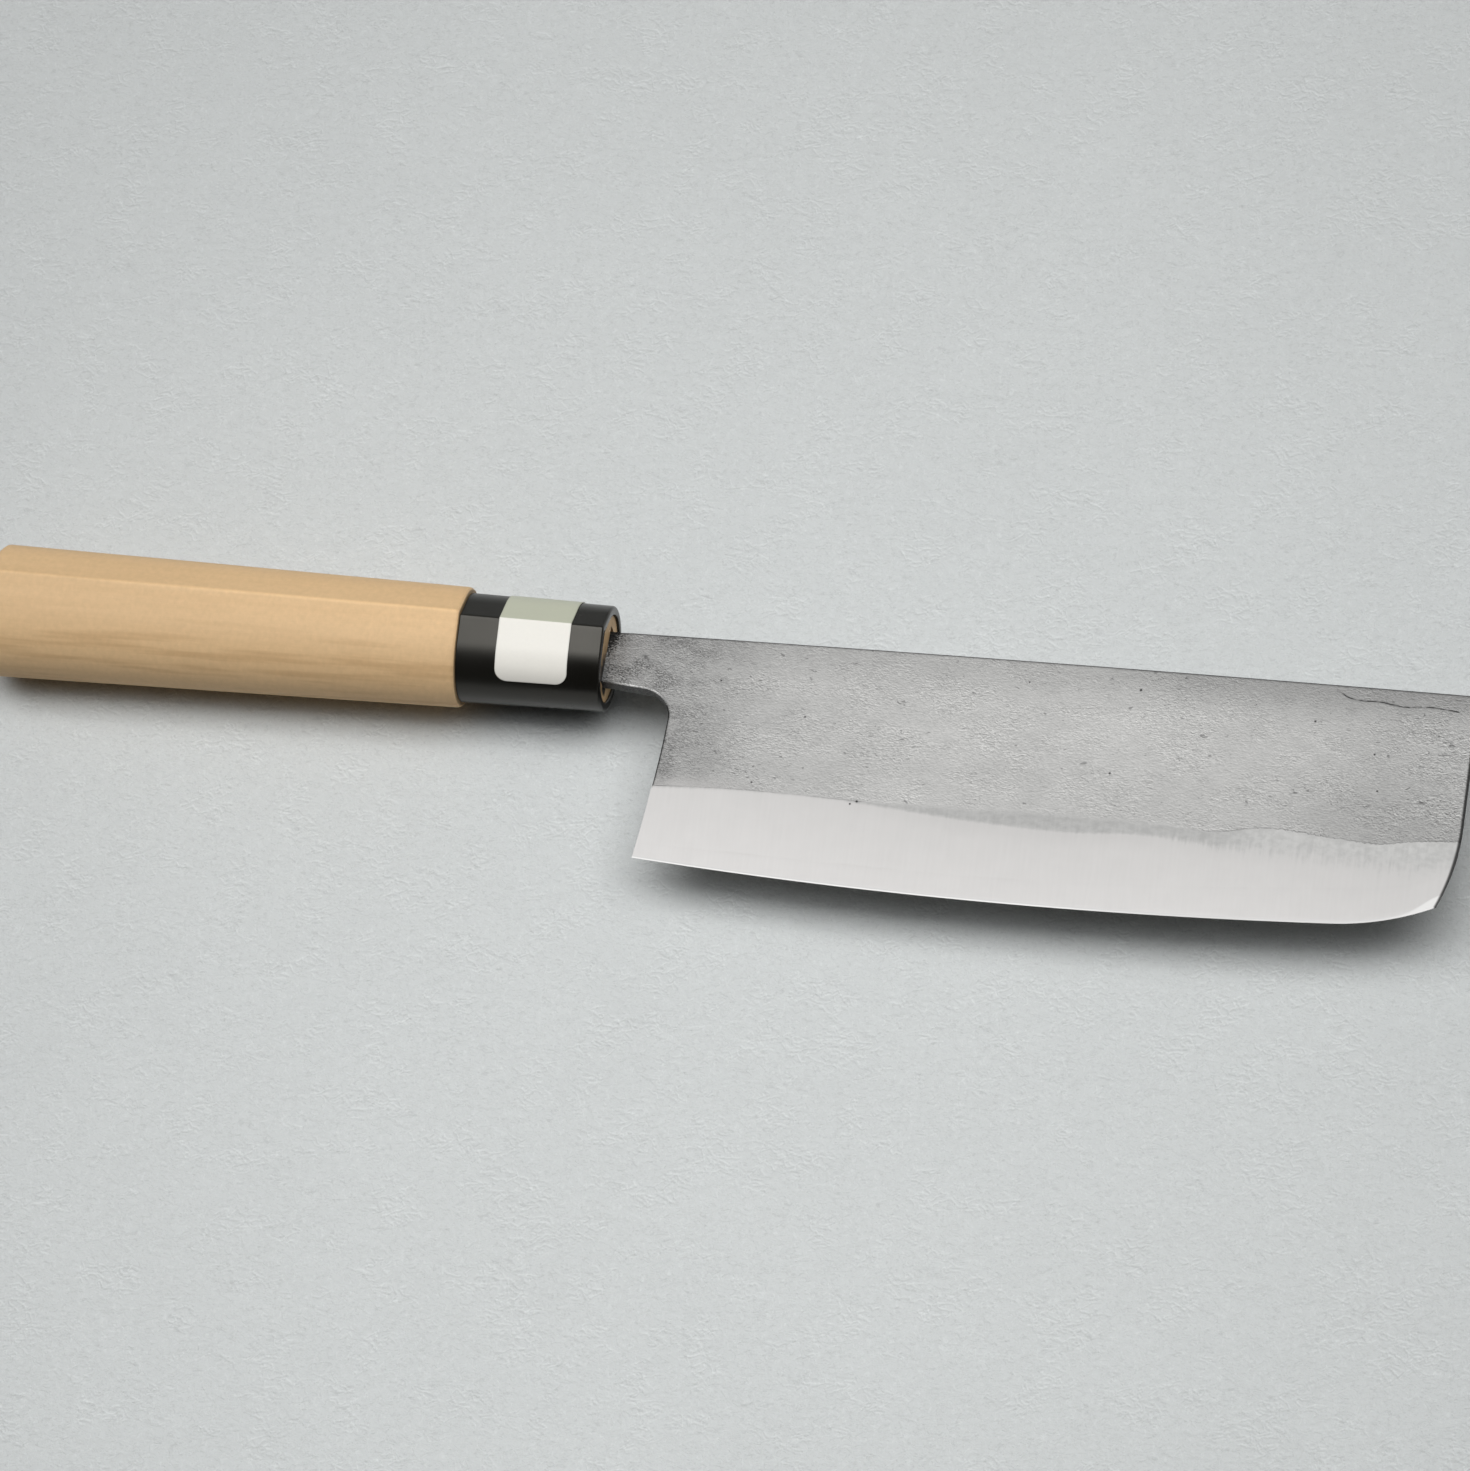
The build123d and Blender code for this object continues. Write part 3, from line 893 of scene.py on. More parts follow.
def paper_finish(looks):
    """Smooth label paper, tinted above the ridge, darker at its edges, and with painted shade towards its
    lower end.
    """
    finish = Finish("label_paper")
    fibres = finish.grain((0.6, 0.6, 0.6), detail=4, roughness=0.6)
    clouds = finish.grain((5, 5, 5), detail=2)
    tone = finish.scaled(clouds, 0.03, finish.scaled(fibres, 0.05, 0.96))
    color = finish.shade(looks.paper_color, tone)
    color = finish.mix(finish.value("facet"), color, finish.mix(1.0, color, FACET_TINT, "MULTIPLY"))
    edge_tone = finish.step(finish.value("rim"), 0, 0.35, 0.86, 1)
    # Painted shade towards the label's lower end
    painted_end_shade = finish.step(finish.along_and_up()[1], -11.5, -6, 0.7, 1)
    return finish.surface(
        Base_Color=finish.shade(color, edge_tone, painted_end_shade),
        Roughness=LABEL_ROUGHNESS,
        Normal=finish.bump(fibres, LABEL_BUMP))


def floor_finish(looks):
    """Pale paper with faint fibres, wrinkles drawn in painted highlight and shade, and a painted pool of
    light that darkens away from its centre.
    """
    finish = Finish("pale_paper")
    fibres = finish.grain((1.9, 1.6, 1.6), detail=4, roughness=0.6, distortion=1.6)
    clouds = finish.grain((45, 45, 45))
    dark_threads = finish.step(finish.grain((1.7, 0.9, 0.9), distortion=2), 0.53, 0.7, 1, 0.9)
    pale_threads = finish.step(finish.grain((1, 1.5, 1), distortion=2), 0.54, 0.7, 1, 1.07)
    # Creases drawn with a painted highlight on one flank and painted shade on the other
    wrinkled = finish.step(finish.grain((9, 7, 7)), 0.46, 0.62, 0, 0.1)
    wrinkles = finish.scaled(finish.lit_wrinkles((3.2, 1.9, 1.9), (0.08, 0.4, 0)), wrinkled)
    # Painted pool of light: the floor darkens away from one place
    reach = finish.place
    for operation, value in (("SUBTRACT", PAINTED_LIGHT_PLACE), ("MULTIPLY", PAINTED_LIGHT_FALLOFF)):
        reach = finish.node("ShaderNodeVectorMath", {0: reach, 1: value}, operation=operation).outputs[0]
    reach = finish.node("ShaderNodeVectorMath", {0: reach}, operation="LENGTH").outputs["Value"]
    color = finish.shade(
        looks.floor_color, finish.scaled(clouds, 0.05, finish.scaled(fibres, 0.08, 0.93)),
        dark_threads, pale_threads, wrinkles, finish.step(reach, 0, 3.2, 1.01, 0.66),
    )
    return finish.surface(
        Base_Color=color, Roughness=FLOOR_ROUGHNESS, Normal=finish.bump(fibres, FLOOR_BUMP),
        Specular_IOR_Level=FLOOR_GLOSS_LEVEL)


# Blade


def blade_steel(looks):
    """The steel's finish, made once and shared by the three layers."""
    return bpy.data.materials.get("knife_steel") or steel_finish("knife_steel", looks)


def steel_values(piece, plan, points, mark):
    """What the steel's finish reads at each point of a layer."""
    flat = points[:, :2]
    x, y = flat.T
    keep_values(piece, "forged", y - line_through(FORGED_END, x))
    keep_values(piece, "ground", line_through(GROUND_START, x) - y)
    keep_values(piece, "hone", plan.edge_height(x) + plan.edge_bevel(x) - y)
    keep_values(piece, "rim", distance_to(flat, np.vstack((plan.heel, plan.neck, plan.tang, plan.spine))))
    keep_values(piece, "mark", mark)
    # Distance to the spine, front and heel walls, where the steel's finish paints shade
    front = distance_to(flat, plan.front) * 0.5
    heel = distance_to(flat, plan.heel[plan.heel[:, 1] < -10]) * 0.8
    heel[y <= GRIND_AT_HEEL] = 9
    keep_values(piece, "wall", np.minimum(distance_to(flat, plan.spine), np.minimum(front, heel)))


def eased(points, plan, half):
    """Half thickness with the spine's, neck's and heel's edges rounded over."""
    above = (points[:, 1] > GRIND_AT_HEEL) & (points[:, 0] >= NECK_START)
    for rim in (np.vstack((plan.heel, plan.neck)), plan.spine):
        reach = np.clip(EASED_EDGE - distance_to(points, rim), 0, None)
        drop = EASED_EDGE - np.sqrt(EASED_EDGE ** 2 - reach ** 2)
        half = np.where(above, half - drop, half)
    return half


def upper_area(plan):
    """Area of the blade above the core's strip: its sides, where they are cut, and its lower border."""
    layer = plan.layer_line()
    heel_at, heel_point = cross_index(plan.heel, layer)
    front_at, front_point = cross_index(plan.front, layer)
    between = (layer[:, 0] > heel_point[0] + 0.3) & (layer[:, 0] < front_point[0] - 0.3)
    border = np.vstack((heel_point, layer[between], front_point))
    sides = plan.spine, plan.front[:front_at], border[::-1], plan.heel[heel_at:], plan.neck, plan.tang
    return sides, heel_at, front_at, border


def cladding_area(plan, loop, pitted):
    """Points and triangles of a soft layer's face, closer where it bends or is marked."""
    grind = straight((HEEL[0], 0), (BLADE_REACH, 0), plan.rough)
    grind[:, 1] = line_through(GROUND_START, grind[:, 0])
    grind = within(grind, loop, GRIND_GAP)
    shoulder = np.array([(NECK_START - 0.05, y) for y in np.linspace(-5.9, 5.8, 12)])
    lines = [grind, shoulder]
    rims = plan.spine, np.vstack((plan.heel, plan.neck))
    rows = [within(inward(rim, gap), loop, ROW_GAP) for rim in rims for gap in EASED_ROWS]
    inner = np.vstack((
        spread((NECK_START, -31), (BLADE_REACH, 7), *FACE_STEPS),
        spread((HEEL[0], -45), (BLADE_REACH, -31.2), *BEVEL_STEPS),
        spread((-TANG_LENGTH, -6), (NECK_START, 6), *TANG_STEPS),
    ))
    inner = within(inner, loop, FACE_GAP)
    inner = inner[distance_to(inner, grind) > LINE_GAP]
    if pitted:
        spots = np.array(PITS)[:, :2]
        from_spots = np.hypot(*(inner[:, None] - spots[None]).transpose(2, 0, 1)).min(1)
        inner = inner[(from_spots >= PIT_GAP) & (distance_to(inner, crease_line()) > CREASE_GAP)]
        rows.append(pit_points())
        lines.append(crease_line())
    return triangles_inside(loop, lines, np.vstack((inner, *rows)))


def cladding(name, side, plan, looks, seed):
    """A soft layer: uneven face outside, flat against the core, and the walls between."""
    sides, _, _, border = upper_area(plan)
    pitted = side > 0
    flat, faces, ring = cladding_area(plan, np.vstack(sides), pitted)
    half = eased(flat, plan, plan.half_thickness(*flat.T))
    mark, lowering = pit_lowering(flat, looks.pit_depth / MM) if pitted else (np.zeros(len(flat)), 0)
    half = half - forged_relief(flat, plan, looks.relief / MM, seed) - lowering
    points = [(x, y, side * z) for (x, y), z in zip(flat, np.maximum(half, THINNEST_HALF))]
    border_first = len(plan.spine) + len(sides[1])
    on_border = range(border_first, border_first + len(border))
    below = []
    for place, top in enumerate(ring):
        if place in on_border:
            below.append(top)
        else:
            below.append(len(points))
            points.append((*flat[top], side * HIDDEN_HALF))
    faces = [list(face) for face in faces] + [below[::-1]]
    for place in range(len(ring)):
        after = (place + 1) % len(ring)
        wall = list(dict.fromkeys((ring[place], ring[after], below[after], below[place])))
        if len(wall) > 2:
            faces.append(wall)
    points = np.array(points)
    piece = make_piece(name, points, faces, blade_steel(looks))
    steel_values(piece, plan, points, np.append(mark, np.zeros(len(points) - len(mark))))
    return piece


def core_layer(plan, looks):
    """The hard layer: it shows as the strip above the edge, and as a thin line round the outline."""
    sides, heel_at, front_at, border = upper_area(plan)
    strip_loop = np.vstack((border, plan.front[front_at:], plan.edge[::-1][1:], plan.heel[1:heel_at]))
    hone = plan.edge[3:-2].copy()
    hone[:, 1] += plan.edge_bevel(hone[:, 0])
    hone = within(hone, strip_loop, HONE_GAP)
    inner = within(spread((HEEL[0], -48), (BLADE_REACH, -30), *STRIP_STEPS), strip_loop, STRIP_GAP)
    inner = inner[distance_to(inner, hone) > LINE_GAP]
    flat, faces, ring = triangles_inside(strip_loop, [hone], inner)
    half = plan.half_thickness(*flat.T)
    upper = np.vstack(sides[:2] + sides[3:])
    after_front = len(sides[0]) + len(sides[1])
    points, all_faces, rings = [], [], []
    for side, seed in ((1, 3), (-1, 41)):
        base = len(points)
        relief = forged_relief(flat, plan, looks.relief / MM, seed)
        points += [(x, y, side * z) for (x, y), z in zip(flat, np.maximum(half - relief, EDGE_HALF))]
        plate = len(points)
        points += [(x, y, side * HIDDEN_HALF) for x, y in upper]
        all_faces += [[base + corner for corner in face] for face in faces]
        upper_ring = [plate + place for place in range(after_front)]
        border_ring = [base + ring[place] for place in range(len(border))]
        rest_ring = [plate + place for place in range(after_front, len(upper))]
        all_faces.append(upper_ring + border_ring[::-1] + rest_ring)
        lower_ring = [base + ring[place] for place in range(len(border) - 1, len(ring))]
        rings.append(upper_ring + lower_ring + [border_ring[0]] + rest_ring)
    for place in range(len(rings[0])):
        after = (place + 1) % len(rings[0])
        all_faces.append([rings[0][place], rings[0][after], rings[1][after], rings[1][place]])
    points = np.array(points)
    piece = make_piece("core_steel_dressed", points, all_faces, blade_steel(looks))
    steel_values(piece, plan, points, np.zeros(len(points)))
    return piece


# Handle


def chestnut(size, softness, flank_steps=10, oval_steps=84):
    """The handle's section: an oval with a ridge tangent to it, softened at its corner."""
    halves = size / 2
    ridge = halves * RIDGE
    middle = atan2(RIDGE[1], RIDGE[0])
    half_span = acos(1 / hypot(*RIDGE))
    right, back = middle + half_span, middle - half_span
    starts = [halves * (cos(angle), sin(angle)) for angle in (right, back)]
    soft = [ridge + (start - ridge) * softness / hypot(*(start - ridge)) for start in starts]
    turn = np.linspace(0, 1, 7)[:, None]
    corner = soft[0] * (1 - turn) ** 2 + 2 * ridge * turn * (1 - turn) + soft[1] * turn ** 2
    angles = np.linspace(back, right - 2 * pi, oval_steps + 1)[1:-1]
    return np.vstack((
        np.linspace(starts[0], soft[0], flank_steps + 1)[:-1],
        corner,
        np.linspace(soft[1], starts[1], flank_steps + 1)[1:],
        halves * np.column_stack((np.cos(angles), np.sin(angles))),
    ))


def straight_curve(name, places, radii, cyclic=False):
    """A curve of straight lines through places in metres, with a radius at each."""
    curve = bpy.data.curves.new(name, "CURVE")
    curve.dimensions = "3D"
    spline = curve.splines.new("POLY")
    spline.points.add(len(places) - 1)
    for point, place, radius in zip(spline.points, places, radii):
        point.co = (*place, 1)
        point.radius = radius
    spline.use_cyclic_u = cyclic
    return new_object(name, curve)


def sweep_tree():
    """Geometry nodes that sweep a section along a path, cut a slot and give it a hand-made surface."""
    tree = bpy.data.node_groups.new("turned_section", "GeometryNodeTree")
    new_socket = tree.interface.new_socket
    sockets = {}
    for name, kind in (
        ("Path", "Geometry"), ("Section", "Object"), ("Slot", "Object"), ("Unevenness", "Float"),
        ("Wave Length", "Float"), ("Seed", "Int"), ("Finish", "Material"),
    ):
        sockets[name] = new_socket(name, in_out="INPUT", socket_type="NodeSocket" + kind).identifier
    new_socket("Piece", in_out="OUTPUT", socket_type="NodeSocketGeometry")
    nodes = Nodes(tree)
    node = nodes.node
    entry = node("NodeGroupInput").outputs
    section = node("GeometryNodeObjectInfo", {"Object": entry["Section"]})
    swept = node("GeometryNodeCurveToMesh", {
        "Curve": entry["Path"],
        "Profile Curve": section.outputs["Geometry"],
        "Scale": node("GeometryNodeInputRadius").outputs["Radius"],
        "Fill Caps": True,
    })
    wave = node("ShaderNodeTexNoise", {
        "Vector": node("GeometryNodeInputPosition").outputs["Position"],
        "W": entry["Seed"],
        "Scale": nodes.math("DIVIDE", 1.0, entry["Wave Length"]),
        "Detail": 1.0,
    }, noise_dimensions="4D")
    inwards = node("ShaderNodeVectorMath", {
        0: node("GeometryNodeInputNormal").outputs["Normal"],
        "Scale": nodes.product(wave.outputs["Fac"], entry["Unevenness"], -1),
    }, operation="SCALE")
    uneven = node("GeometryNodeSetPosition", {
        "Geometry": swept.outputs["Mesh"], "Offset": inwards.outputs[0],
    })
    slot = node("GeometryNodeObjectInfo", {"Object": entry["Slot"]})
    cut = node("GeometryNodeMeshBoolean", {
        "Mesh 1": uneven.outputs["Geometry"], "Mesh 2": slot.outputs["Geometry"],
    }, operation="DIFFERENCE", solver="EXACT")
    real = node("GeometryNodeRealizeInstances", {"Geometry": cut.outputs["Mesh"]})
    finished = node("GeometryNodeSetMaterial", {
        "Geometry": real.outputs["Geometry"], "Material": entry["Finish"],
    })
    node("NodeGroupOutput", {"Piece": finished.outputs["Geometry"]})
    return tree, sockets


def grip_stations():
    """Places along the grip, and the scale of its section at each, with eased corners."""
    radius = BUTT[0] / 2
    taper = (BUTT[0] - GRIP_FRONT[0]) / (HANDLE_LENGTH - FERRULE_LENGTH)

    def body(x, inset=0):
        return x, (radius - taper * (x + HANDLE_LENGTH) / 2 - inset) / radius

    def tenon(x, collar):
        return x, (collar[0] / 2 - FERRULE_WALL - TENON_CLEARANCE) / radius

    butt, front = -HANDLE_LENGTH, -FERRULE_LENGTH
    stations = [body(butt + along, BUTT_CHAMFER + inset) for along, inset in CHAMFER_BACK]
    stations += [body(butt + BUTT_CHAMFER + along, inset) for along, inset in CHAMFER_FRONT]
    stations += [body(x) for x in np.linspace(butt + 4, front - 1.2, 46)]
    stations += [body(front - back, inset) for back, inset in GRIP_FRONT_EDGE]
    stations += [tenon(front, FERRULE_BACK), tenon(-TENON_SETBACK, FERRULE_MOUTH)]
    return zip(*stations)


def slot_cutter():
    """The slot that the tang was burnt into, as a plain block to cut with."""
    half_width = TANG_HALF + SLOT_GAP_BESIDE
    low = np.array((-TENON_SETBACK - SLOT_DEPTH, NECK_EDGE[1] - SLOT_GAP_BELOW, -half_width))
    high = np.array((1, NECK_TOP + SLOT_RELIEF, half_width))
    mesh = bpy.data.meshes.new("tang_slot")
    work = bmesh.new()
    bmesh.ops.create_cube(work, size=1)
    for vertex in work.verts:
        vertex.co = Vector(placed(np.where(np.array(vertex.co) > 0, high, low)))
    work.to_mesh(mesh)
    work.free()
    return new_object("tang_slot", mesh)


def grip_values(piece):
    """Charring round the slot, the worn front edge, and the distances from the ridge, along which the wood's
    finish paints highlights.
    """
    points = (np.array([vertex.co for vertex in piece.data.vertices]) - np.array(MOUTH)) / MM
    x, y, z = points.T
    beside = np.maximum(np.abs(z) - TANG_HALF, 0)
    above_or_below = np.maximum(np.maximum(y - NECK_TOP, NECK_EDGE[1] - y), 0)
    near_slot = 1 - smooth(np.hypot(beside, above_or_below), 0.2, 1.5)
    keep_values(piece, "char", near_slot * (x > -TENON_SETBACK - SLOT_DEPTH - 1))
    front = x + FERRULE_LENGTH
    keep_values(piece, "worn", smooth(front, -0.5, 0) * (front < 0.1))
    share = np.clip((x + HANDLE_LENGTH) / (HANDLE_LENGTH - FERRULE_LENGTH), 0, 1)
    ridge_up, ridge_out = ((BUTT + (GRIP_FRONT - BUTT) * share[:, None]) / 2 * RIDGE).T
    from_ridge = np.hypot(y - ridge_up, z - ridge_out)
    keep_values(piece, "ridge", from_ridge)
    keep_values(piece, "side", np.where(y < ridge_up + 0.3, from_ridge, 10))


def tube(name, rings, material):
    """A piece from rings of points, joined in order and end to start."""
    size = len(rings[0])
    faces = []
    for ring in range(len(rings)):
        after = (ring + 1) % len(rings)
        for place in range(size):
            beside = (place + 1) % size
            places = (ring, place), (ring, beside), (after, beside), (after, place)
            faces.append([row * size + column for row, column in places])
    return make_piece(name, np.vstack(rings), faces, material)


def ferrule_size(x):
    """The ferrule's height and thickness at x."""
    return FERRULE_MOUTH + (FERRULE_BACK - FERRULE_MOUTH) * -x / FERRULE_LENGTH


def ferrule_section(x, inset):
    """The ferrule's section at x, drawn in by an inset, as points of the knife."""
    ring = chestnut(ferrule_size(x) - 2 * inset, FERRULE_RIDGE_SOFTNESS)
    return np.column_stack((np.full(len(ring), x), ring))


def label_trace():
    """The label's line over the ridge, on the ferrule's back section."""
    path = chestnut(FERRULE_BACK, FERRULE_RIDGE_SOFTNESS, 14, 160)
    up, out = (path / (FERRULE_BACK / 2)).T
    angle = np.arctan2(out, up)
    kept = (angle > LABEL_BACK_ANGLE) & (angle < LABEL_RIGHT_ANGLE)
    order = np.argsort(angle[kept])
    back, right = [FERRULE_BACK / 2 * (cos(end), sin(end)) for end in (LABEL_BACK_ANGLE, LABEL_RIGHT_ANGLE)]
    return np.vstack((back, path[kept][order], right))


def label_piece(looks):
    """The paper band, with round corners and a little thickness."""
    trace = label_trace()
    run = np.concatenate(((0,), np.cumsum(np.hypot(*np.diff(trace, axis=0).T))))
    length = run[-1]
    corner_steps = LABEL_CORNER * (1 - np.cos(np.linspace(0, pi / 2, 9)))
    between = run[(run > LABEL_CORNER) & (run < length - LABEL_CORNER)]
    stops = np.concatenate((corner_steps[:-1], between, length - corner_steps[::-1][1:]))
    crest = run[np.argmax(trace @ RIDGE)]
    middle = -LABEL_SETBACK - LABEL_WIDTH / 2
    points, rims, facets = [], [], []
    for lift in (LABEL_GAP, LABEL_GAP + LABEL_THICKNESS):
        for stop in stops:
            at = np.array([np.interp(stop, run, line) for line in trace.T])
            from_end = max(LABEL_CORNER - min(stop, length - stop), 0)
            half = LABEL_WIDTH / 2 - LABEL_CORNER + (LABEL_CORNER ** 2 - from_end ** 2) ** 0.5
            for x in np.linspace(middle - half, middle + half, LABEL_COLUMNS + 1):
                points.append((x, *(at * (ferrule_size(x) + 2 * lift) / FERRULE_BACK)))
                rims.append(min(half - abs(x - middle), stop, length - stop))
                facets.append(stop < crest)
    size = LABEL_COLUMNS + 1
    last_row = len(stops) - 1
    layer = len(stops) * size
    faces = []
    for row in range(last_row):
        for column in range(LABEL_COLUMNS):
            corner = row * size + column
            face = [corner, corner + 1, corner + size + 1, corner + size]
            faces += [face[::-1], [layer + place for place in face]]
    ring = list(range(size))
    ring += [row * size + LABEL_COLUMNS for row in range(1, len(stops))]
    ring += [last_row * size + column for column in range(LABEL_COLUMNS - 1, -1, -1)]
    ring += [row * size for row in range(last_row - 1, 0, -1)]
    for place, after in zip(ring, ring[1:] + ring[:1]):
        faces.append((place, after, layer + after, layer + place))
    piece = make_piece("label_dressed", np.array(points), faces, paper_finish(looks), LABEL_SHARP_ANGLE)
    keep_values(piece, "rim", rims)
    keep_values(piece, "facet", facets)
    return piece


# One button for each group of pieces


class NAKIRI_OT_claddings(bpy.types.Operator):
    """Make the blade's two soft layers, with their forged skin and ground bevel"""
    bl_idname = "nakiri.claddings"
    bl_label = "Soft Layers"

    def execute(self, context):
        looks = context.scene.nakiri.blade
        plan = BladePlan()
        for node, side, seed in (("right_cladding", 1, 3), ("left_cladding", -1, 41)):
            on_body(cladding(node + "_dressed", side, plan, looks, seed), "cladding", node)
        return {"FINISHED"}


class NAKIRI_OT_core(bpy.types.Operator):
    """Make the blade's hard layer, which holds the cutting edge"""
    bl_idname = "nakiri.core"
    bl_label = "Hard Layer"

    def execute(self, context):
        on_body(core_layer(BladePlan(), context.scene.nakiri.blade), "core_steel", "core_steel")
        return {"FINISHED"}


class NAKIRI_OT_grip(bpy.types.Operator):
    """Sweep the wooden grip along its axis and cut the slot for the tang"""
    bl_idname = "nakiri.grip"
    bl_label = "Wooden Grip"

    def execute(self, context):
        looks = context.scene.nakiri.handle
        outline = chestnut(BUTT, looks.ridge_softness / MM)[::-1]
        profile = [(-up * MM, -out * MM, 0) for up, out in outline]
        section = straight_curve("grip_section", profile, np.ones(len(profile)), cyclic=True)
        along, scales = grip_stations()
        path = straight_curve("grip_path", [placed((x, 0, 0)) for x in along], scales)
        slot = slot_cutter()
        tree, sockets = sweep_tree()
        modifier = path.modifiers.new("turned_section", "NODES")
        modifier.node_group = tree
        values = {
            "Section": section, "Slot": slot, "Unevenness": looks.wobble, "Wave Length": WAVE_LENGTH * MM,
            "Seed": looks.seed, "Finish": wood_finish(looks),
        }
        for name, value in values.items():
            modifier[sockets[name]] = value
        path.update_tag()
        context.view_layer.update()
        evaluated = path.evaluated_get(context.evaluated_depsgraph_get())
        mesh = bpy.data.meshes.new_from_object(evaluated)
        mesh.name = "handle_grip_dressed"
        mesh.shade_smooth()
        mesh.set_sharp_from_angle(angle=GRIP_SHARP_ANGLE)
        piece = new_object("handle_grip_dressed", mesh)
        for helper in (path, section, slot):
            bpy.data.objects.remove(helper)
        grip_values(piece)
        on_body(piece, "grip_wood", "handle_grip")
        return {"FINISHED"}


class NAKIRI_OT_ferrule(bpy.types.Operator):
    """Make the polished ferrule, with its rounded mouth and its bore"""
    bl_idname = "nakiri.ferrule"
    bl_label = "Ferrule"

    def execute(self, context):
        back = -FERRULE_LENGTH
        places = [(back, FERRULE_BACK_EDGE), (back + FERRULE_BACK_EDGE, 0)]
        places += [(x, 0) for x in np.linspace(back + 1, -MOUTH_ROUNDING - 1, 18)]
        for turn in np.linspace(0, pi / 2, 9):
            places.append((-MOUTH_ROUNDING * (1 - sin(turn)), MOUTH_ROUNDING * (1 - cos(turn))))
        for turn in np.linspace(0, pi / 2, 4):
            places.append((-BORE_ROUNDING * (1 - cos(turn)), FERRULE_WALL - BORE_ROUNDING * (1 - sin(turn))))
        places += [(-2, FERRULE_WALL), (back, FERRULE_WALL)]
        rings = [ferrule_section(x, inset) for x, inset in places]
        material = ferrule_finish(context.scene.nakiri.handle)
        on_body(tube("ferrule_dressed", rings, material), "ferrule_black", "ferrule")
        return {"FINISHED"}


class NAKIRI_OT_label(bpy.types.Operator):
    """Wrap the blank paper label over the ferrule's ridge"""
    bl_idname = "nakiri.label"
    bl_label = "Label"

    def execute(self, context):
        on_body(label_piece(context.scene.nakiri.handle), "label_paper", "label")
        return {"FINISHED"}


class NAKIRI_OT_stage(bpy.types.Operator):
    """Lay the pale floor under the knife and set the lamps and the camera"""
    bl_idname = "nakiri.stage"
    bl_label = "Stage"

    def execute(self, context):
        stage = context.scene.nakiri.stage
        make_floor(stage)
        make_panel(stage)
        make_room(stage)
        make_camera()
        context.scene.view_settings.view_transform = "Standard"
        return {"FINISHED"}


# Stage


def floor_plane(stage):
    """The tilted plane that touches the knife from below: its normal, and how far along that it lies."""
    up = Vector((-sin(stage.floor_pitch), sin(stage.floor_roll), 0))
    up.z = (1 - up.x ** 2 - up.y ** 2) ** 0.5
    depth = min(
        (piece.matrix_world @ vertex.co).dot(up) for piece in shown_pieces() for vertex in piece.data.vertices
    )
    return up, depth


def make_floor(stage):
    """A wide sheet of paper under the knife."""
    up, depth = floor_plane(stage)
    tilt = Vector((0, 0, 1)).rotation_difference(up).to_matrix().to_4x4()
    tilt.translation = up * depth
    mesh = bpy.data.meshes.new("floor")
    work = bmesh.new()
    bmesh.ops.create_grid(work, x_segments=8, y_segments=8, size=FLOOR_HALF_SIZE)
    work.transform(tilt)
    work.to_mesh(mesh)
    work.free()
    mesh.materials.append(floor_finish(stage))
    floor = new_object("floor", mesh)
    floor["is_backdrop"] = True


def make_panel(stage):
    """One soft panel overhead."""
    lamp = bpy.data.lights.new("overhead_panel", "AREA")
    lamp.shape = "RECTANGLE"
    lamp.size = 2 * PANEL_SIDE * PANEL_HEIGHT
    lamp.size_y = (PANEL_BACK - PANEL_FRONT) * PANEL_HEIGHT
    lamp.energy = stage.panel_strength * pi * lamp.size * lamp.size_y
    panel = new_object("overhead_panel", lamp)
    panel.location = (0, (PANEL_BACK + PANEL_FRONT) / 2 * PANEL_HEIGHT, PANEL_HEIGHT)


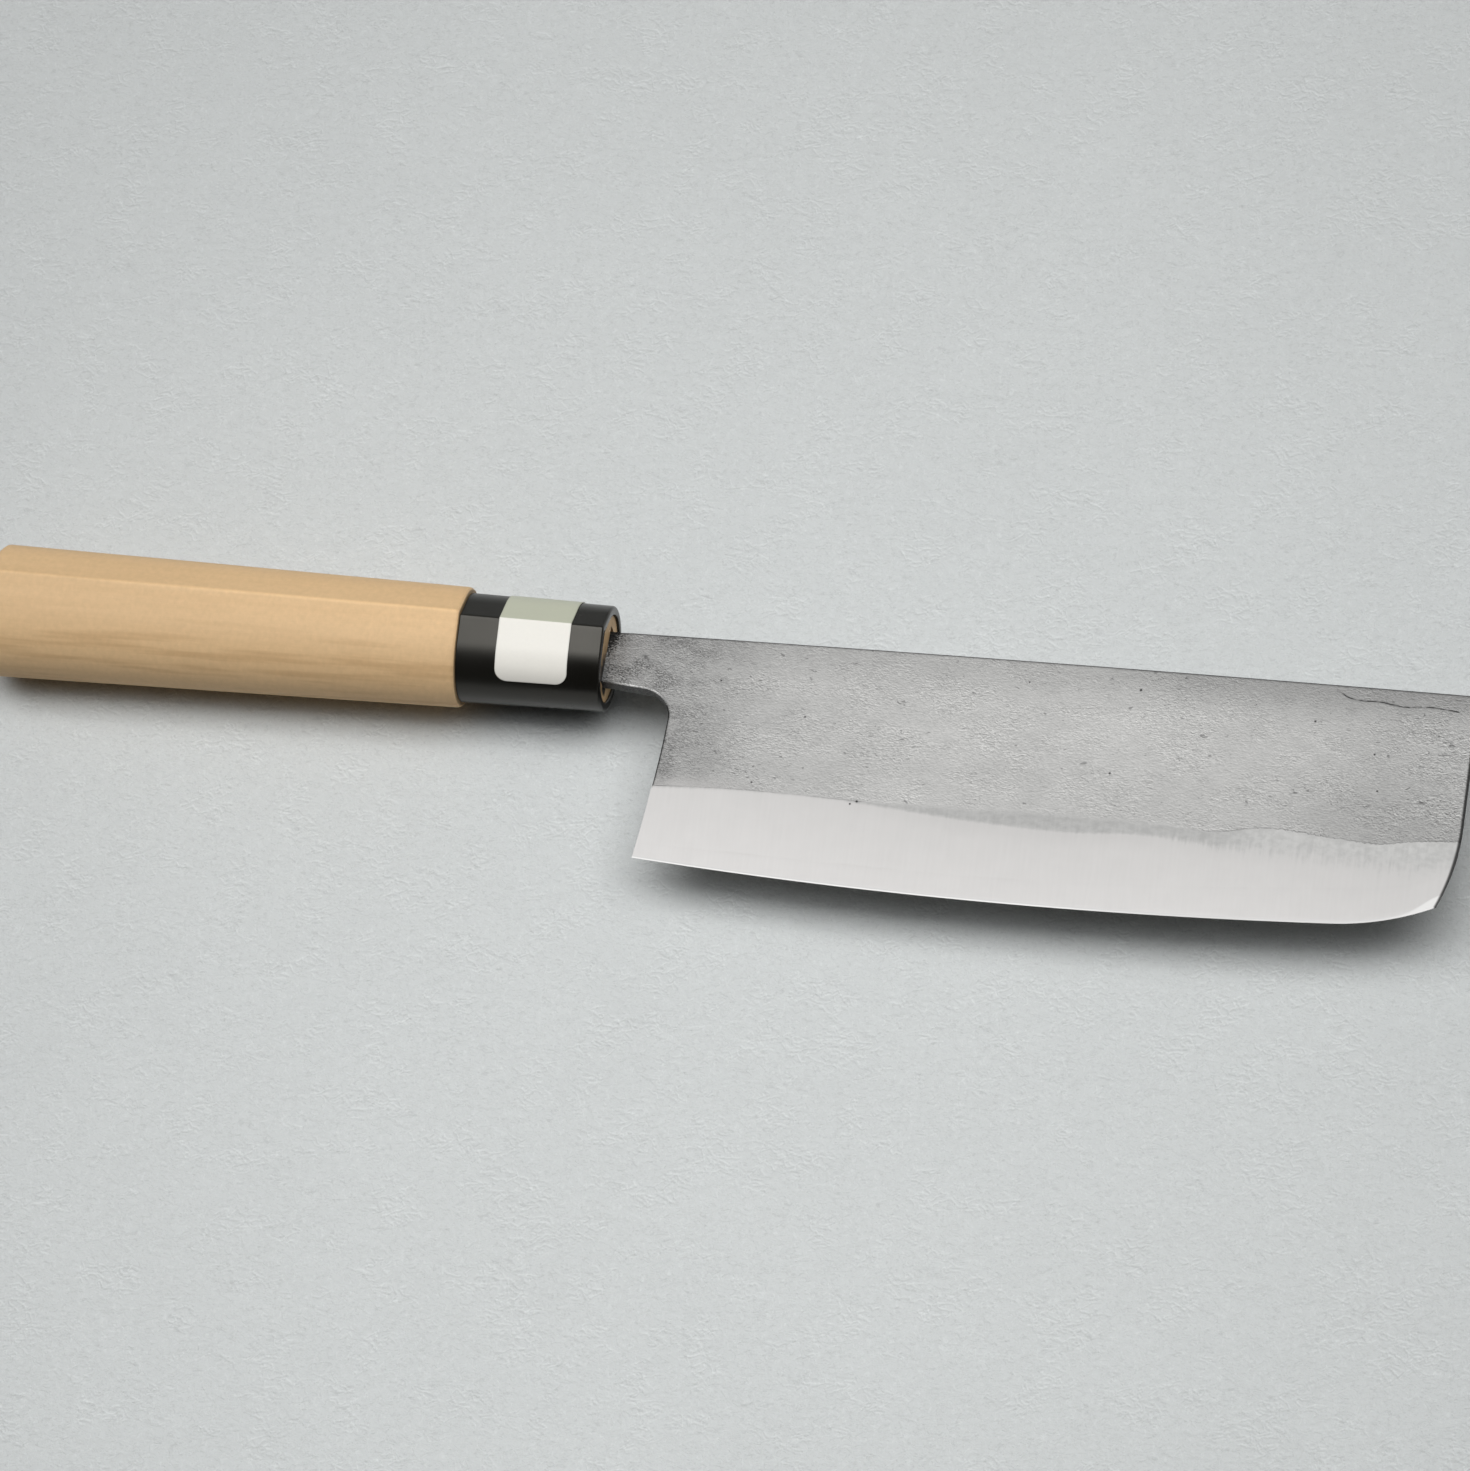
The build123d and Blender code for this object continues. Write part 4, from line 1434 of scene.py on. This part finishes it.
def make_room(stage):
    """The panel's glow, the light of a plain room, and the pale paper that eyes and mirrors see."""
    world = bpy.data.worlds.new("plain_room")
    world.use_nodes = True
    nodes = Nodes(world.node_tree)
    nodes.tree.nodes.clear()
    node, math, step = nodes.node, nodes.math, nodes.step

    def background(color, strength):
        return node("ShaderNodeBackground", {"Color": (*color, 1), "Strength": strength}).outputs[0]

    direction = node("ShaderNodeTexCoord").outputs["Generated"]
    axes = node("ShaderNodeSeparateXYZ", {0: direction}).outputs
    height = math("MAXIMUM", axes["Z"], 0.02)
    across = math("DIVIDE", axes["Y"], height)
    side = math("ABSOLUTE", math("DIVIDE", axes["X"], height))
    glow = nodes.product(
        step(across, GLOW_FRONT, PANEL_FRONT + 0.05), step(across, PANEL_BACK - 0.05, GLOW_BACK, 1, 0),
        step(side, PANEL_SIDE - 0.1, GLOW_SIDE, 1, 0), stage.glow_strength,
    )
    room = nodes.product(step(axes["Y"], -0.3, 0.6, 0.2, 1), stage.room_strength)
    surface = background(ROOM_TINT, nodes.total(glow, room))
    mirrored = background(stage.floor_color, math("MAXIMUM", glow, step(axes["Y"], -0.5, 0.1, 0.12, 0.5)))
    seen = background(stage.floor_color, 1.0)
    rays = node("ShaderNodeLightPath").outputs
    for kind, shader in (("Is Glossy Ray", mirrored), ("Is Transmission Ray", seen), ("Is Camera Ray", seen)):
        surface = node("ShaderNodeMixShader", {0: rays[kind], 1: surface, 2: shader}).outputs[0]
    node("ShaderNodeOutputWorld", {"Surface": surface})
    bpy.context.scene.world = world


def make_camera():
    """The camera at the photograph's place."""
    data = bpy.data.cameras.new("camera")
    data.lens = CAMERA_LENS
    data.sensor_width = CAMERA_SENSOR
    right = CAMERA_RIGHT.normalized()
    back = right.cross(CAMERA_UP).normalized()
    turn = Matrix((right, back.cross(right), back)).transposed()
    camera = new_object("camera", data)
    camera.matrix_world = Matrix.Translation(CAMERA_PLACE) @ turn.to_4x4()
    bpy.context.scene.camera = camera


class NAKIRI_PT_panel(bpy.types.Panel):
    """Buttons and values of the knife"""
    bl_idname = "NAKIRI_PT_panel"
    bl_label = "Nakiri Knife"
    bl_space_type = "VIEW_3D"
    bl_region_type = "UI"
    bl_category = "Nakiri"

    def draw(self, context):
        looks = context.scene.nakiri
        for group, operators in (
            (looks.blade, OPERATORS[:2]), (looks.handle, OPERATORS[2:5]), (looks.stage, OPERATORS[5:]),
        ):
            box = self.layout.box()
            for name in group.bl_rna.properties.keys():
                if name not in ("rna_type", "name"):
                    box.prop(group, name)
            for operator in operators:
                box.operator(operator.bl_idname)


GROUPS = BladeLooks, HandleLooks, StageLooks, NakiriLooks
OPERATORS = (
    NAKIRI_OT_claddings, NAKIRI_OT_core, NAKIRI_OT_grip, NAKIRI_OT_ferrule, NAKIRI_OT_label, NAKIRI_OT_stage,
)


def register():
    """Make the classes and the scene's values known."""
    for made in (*GROUPS, *OPERATORS, NAKIRI_PT_panel):
        bpy.utils.register_class(made)
    bpy.types.Scene.nakiri = PointerProperty(type=NakiriLooks)


def unregister():
    """Take them away again."""
    del bpy.types.Scene.nakiri
    for made in reversed((*GROUPS, *OPERATORS, NAKIRI_PT_panel)):
        bpy.utils.unregister_class(made)


def main():
    """Make every piece and the stage."""
    register()
    for operator in OPERATORS:
        group, name = operator.bl_idname.split(".")
        getattr(getattr(bpy.ops, group), name)()


if __name__ == "__main__":
    main()
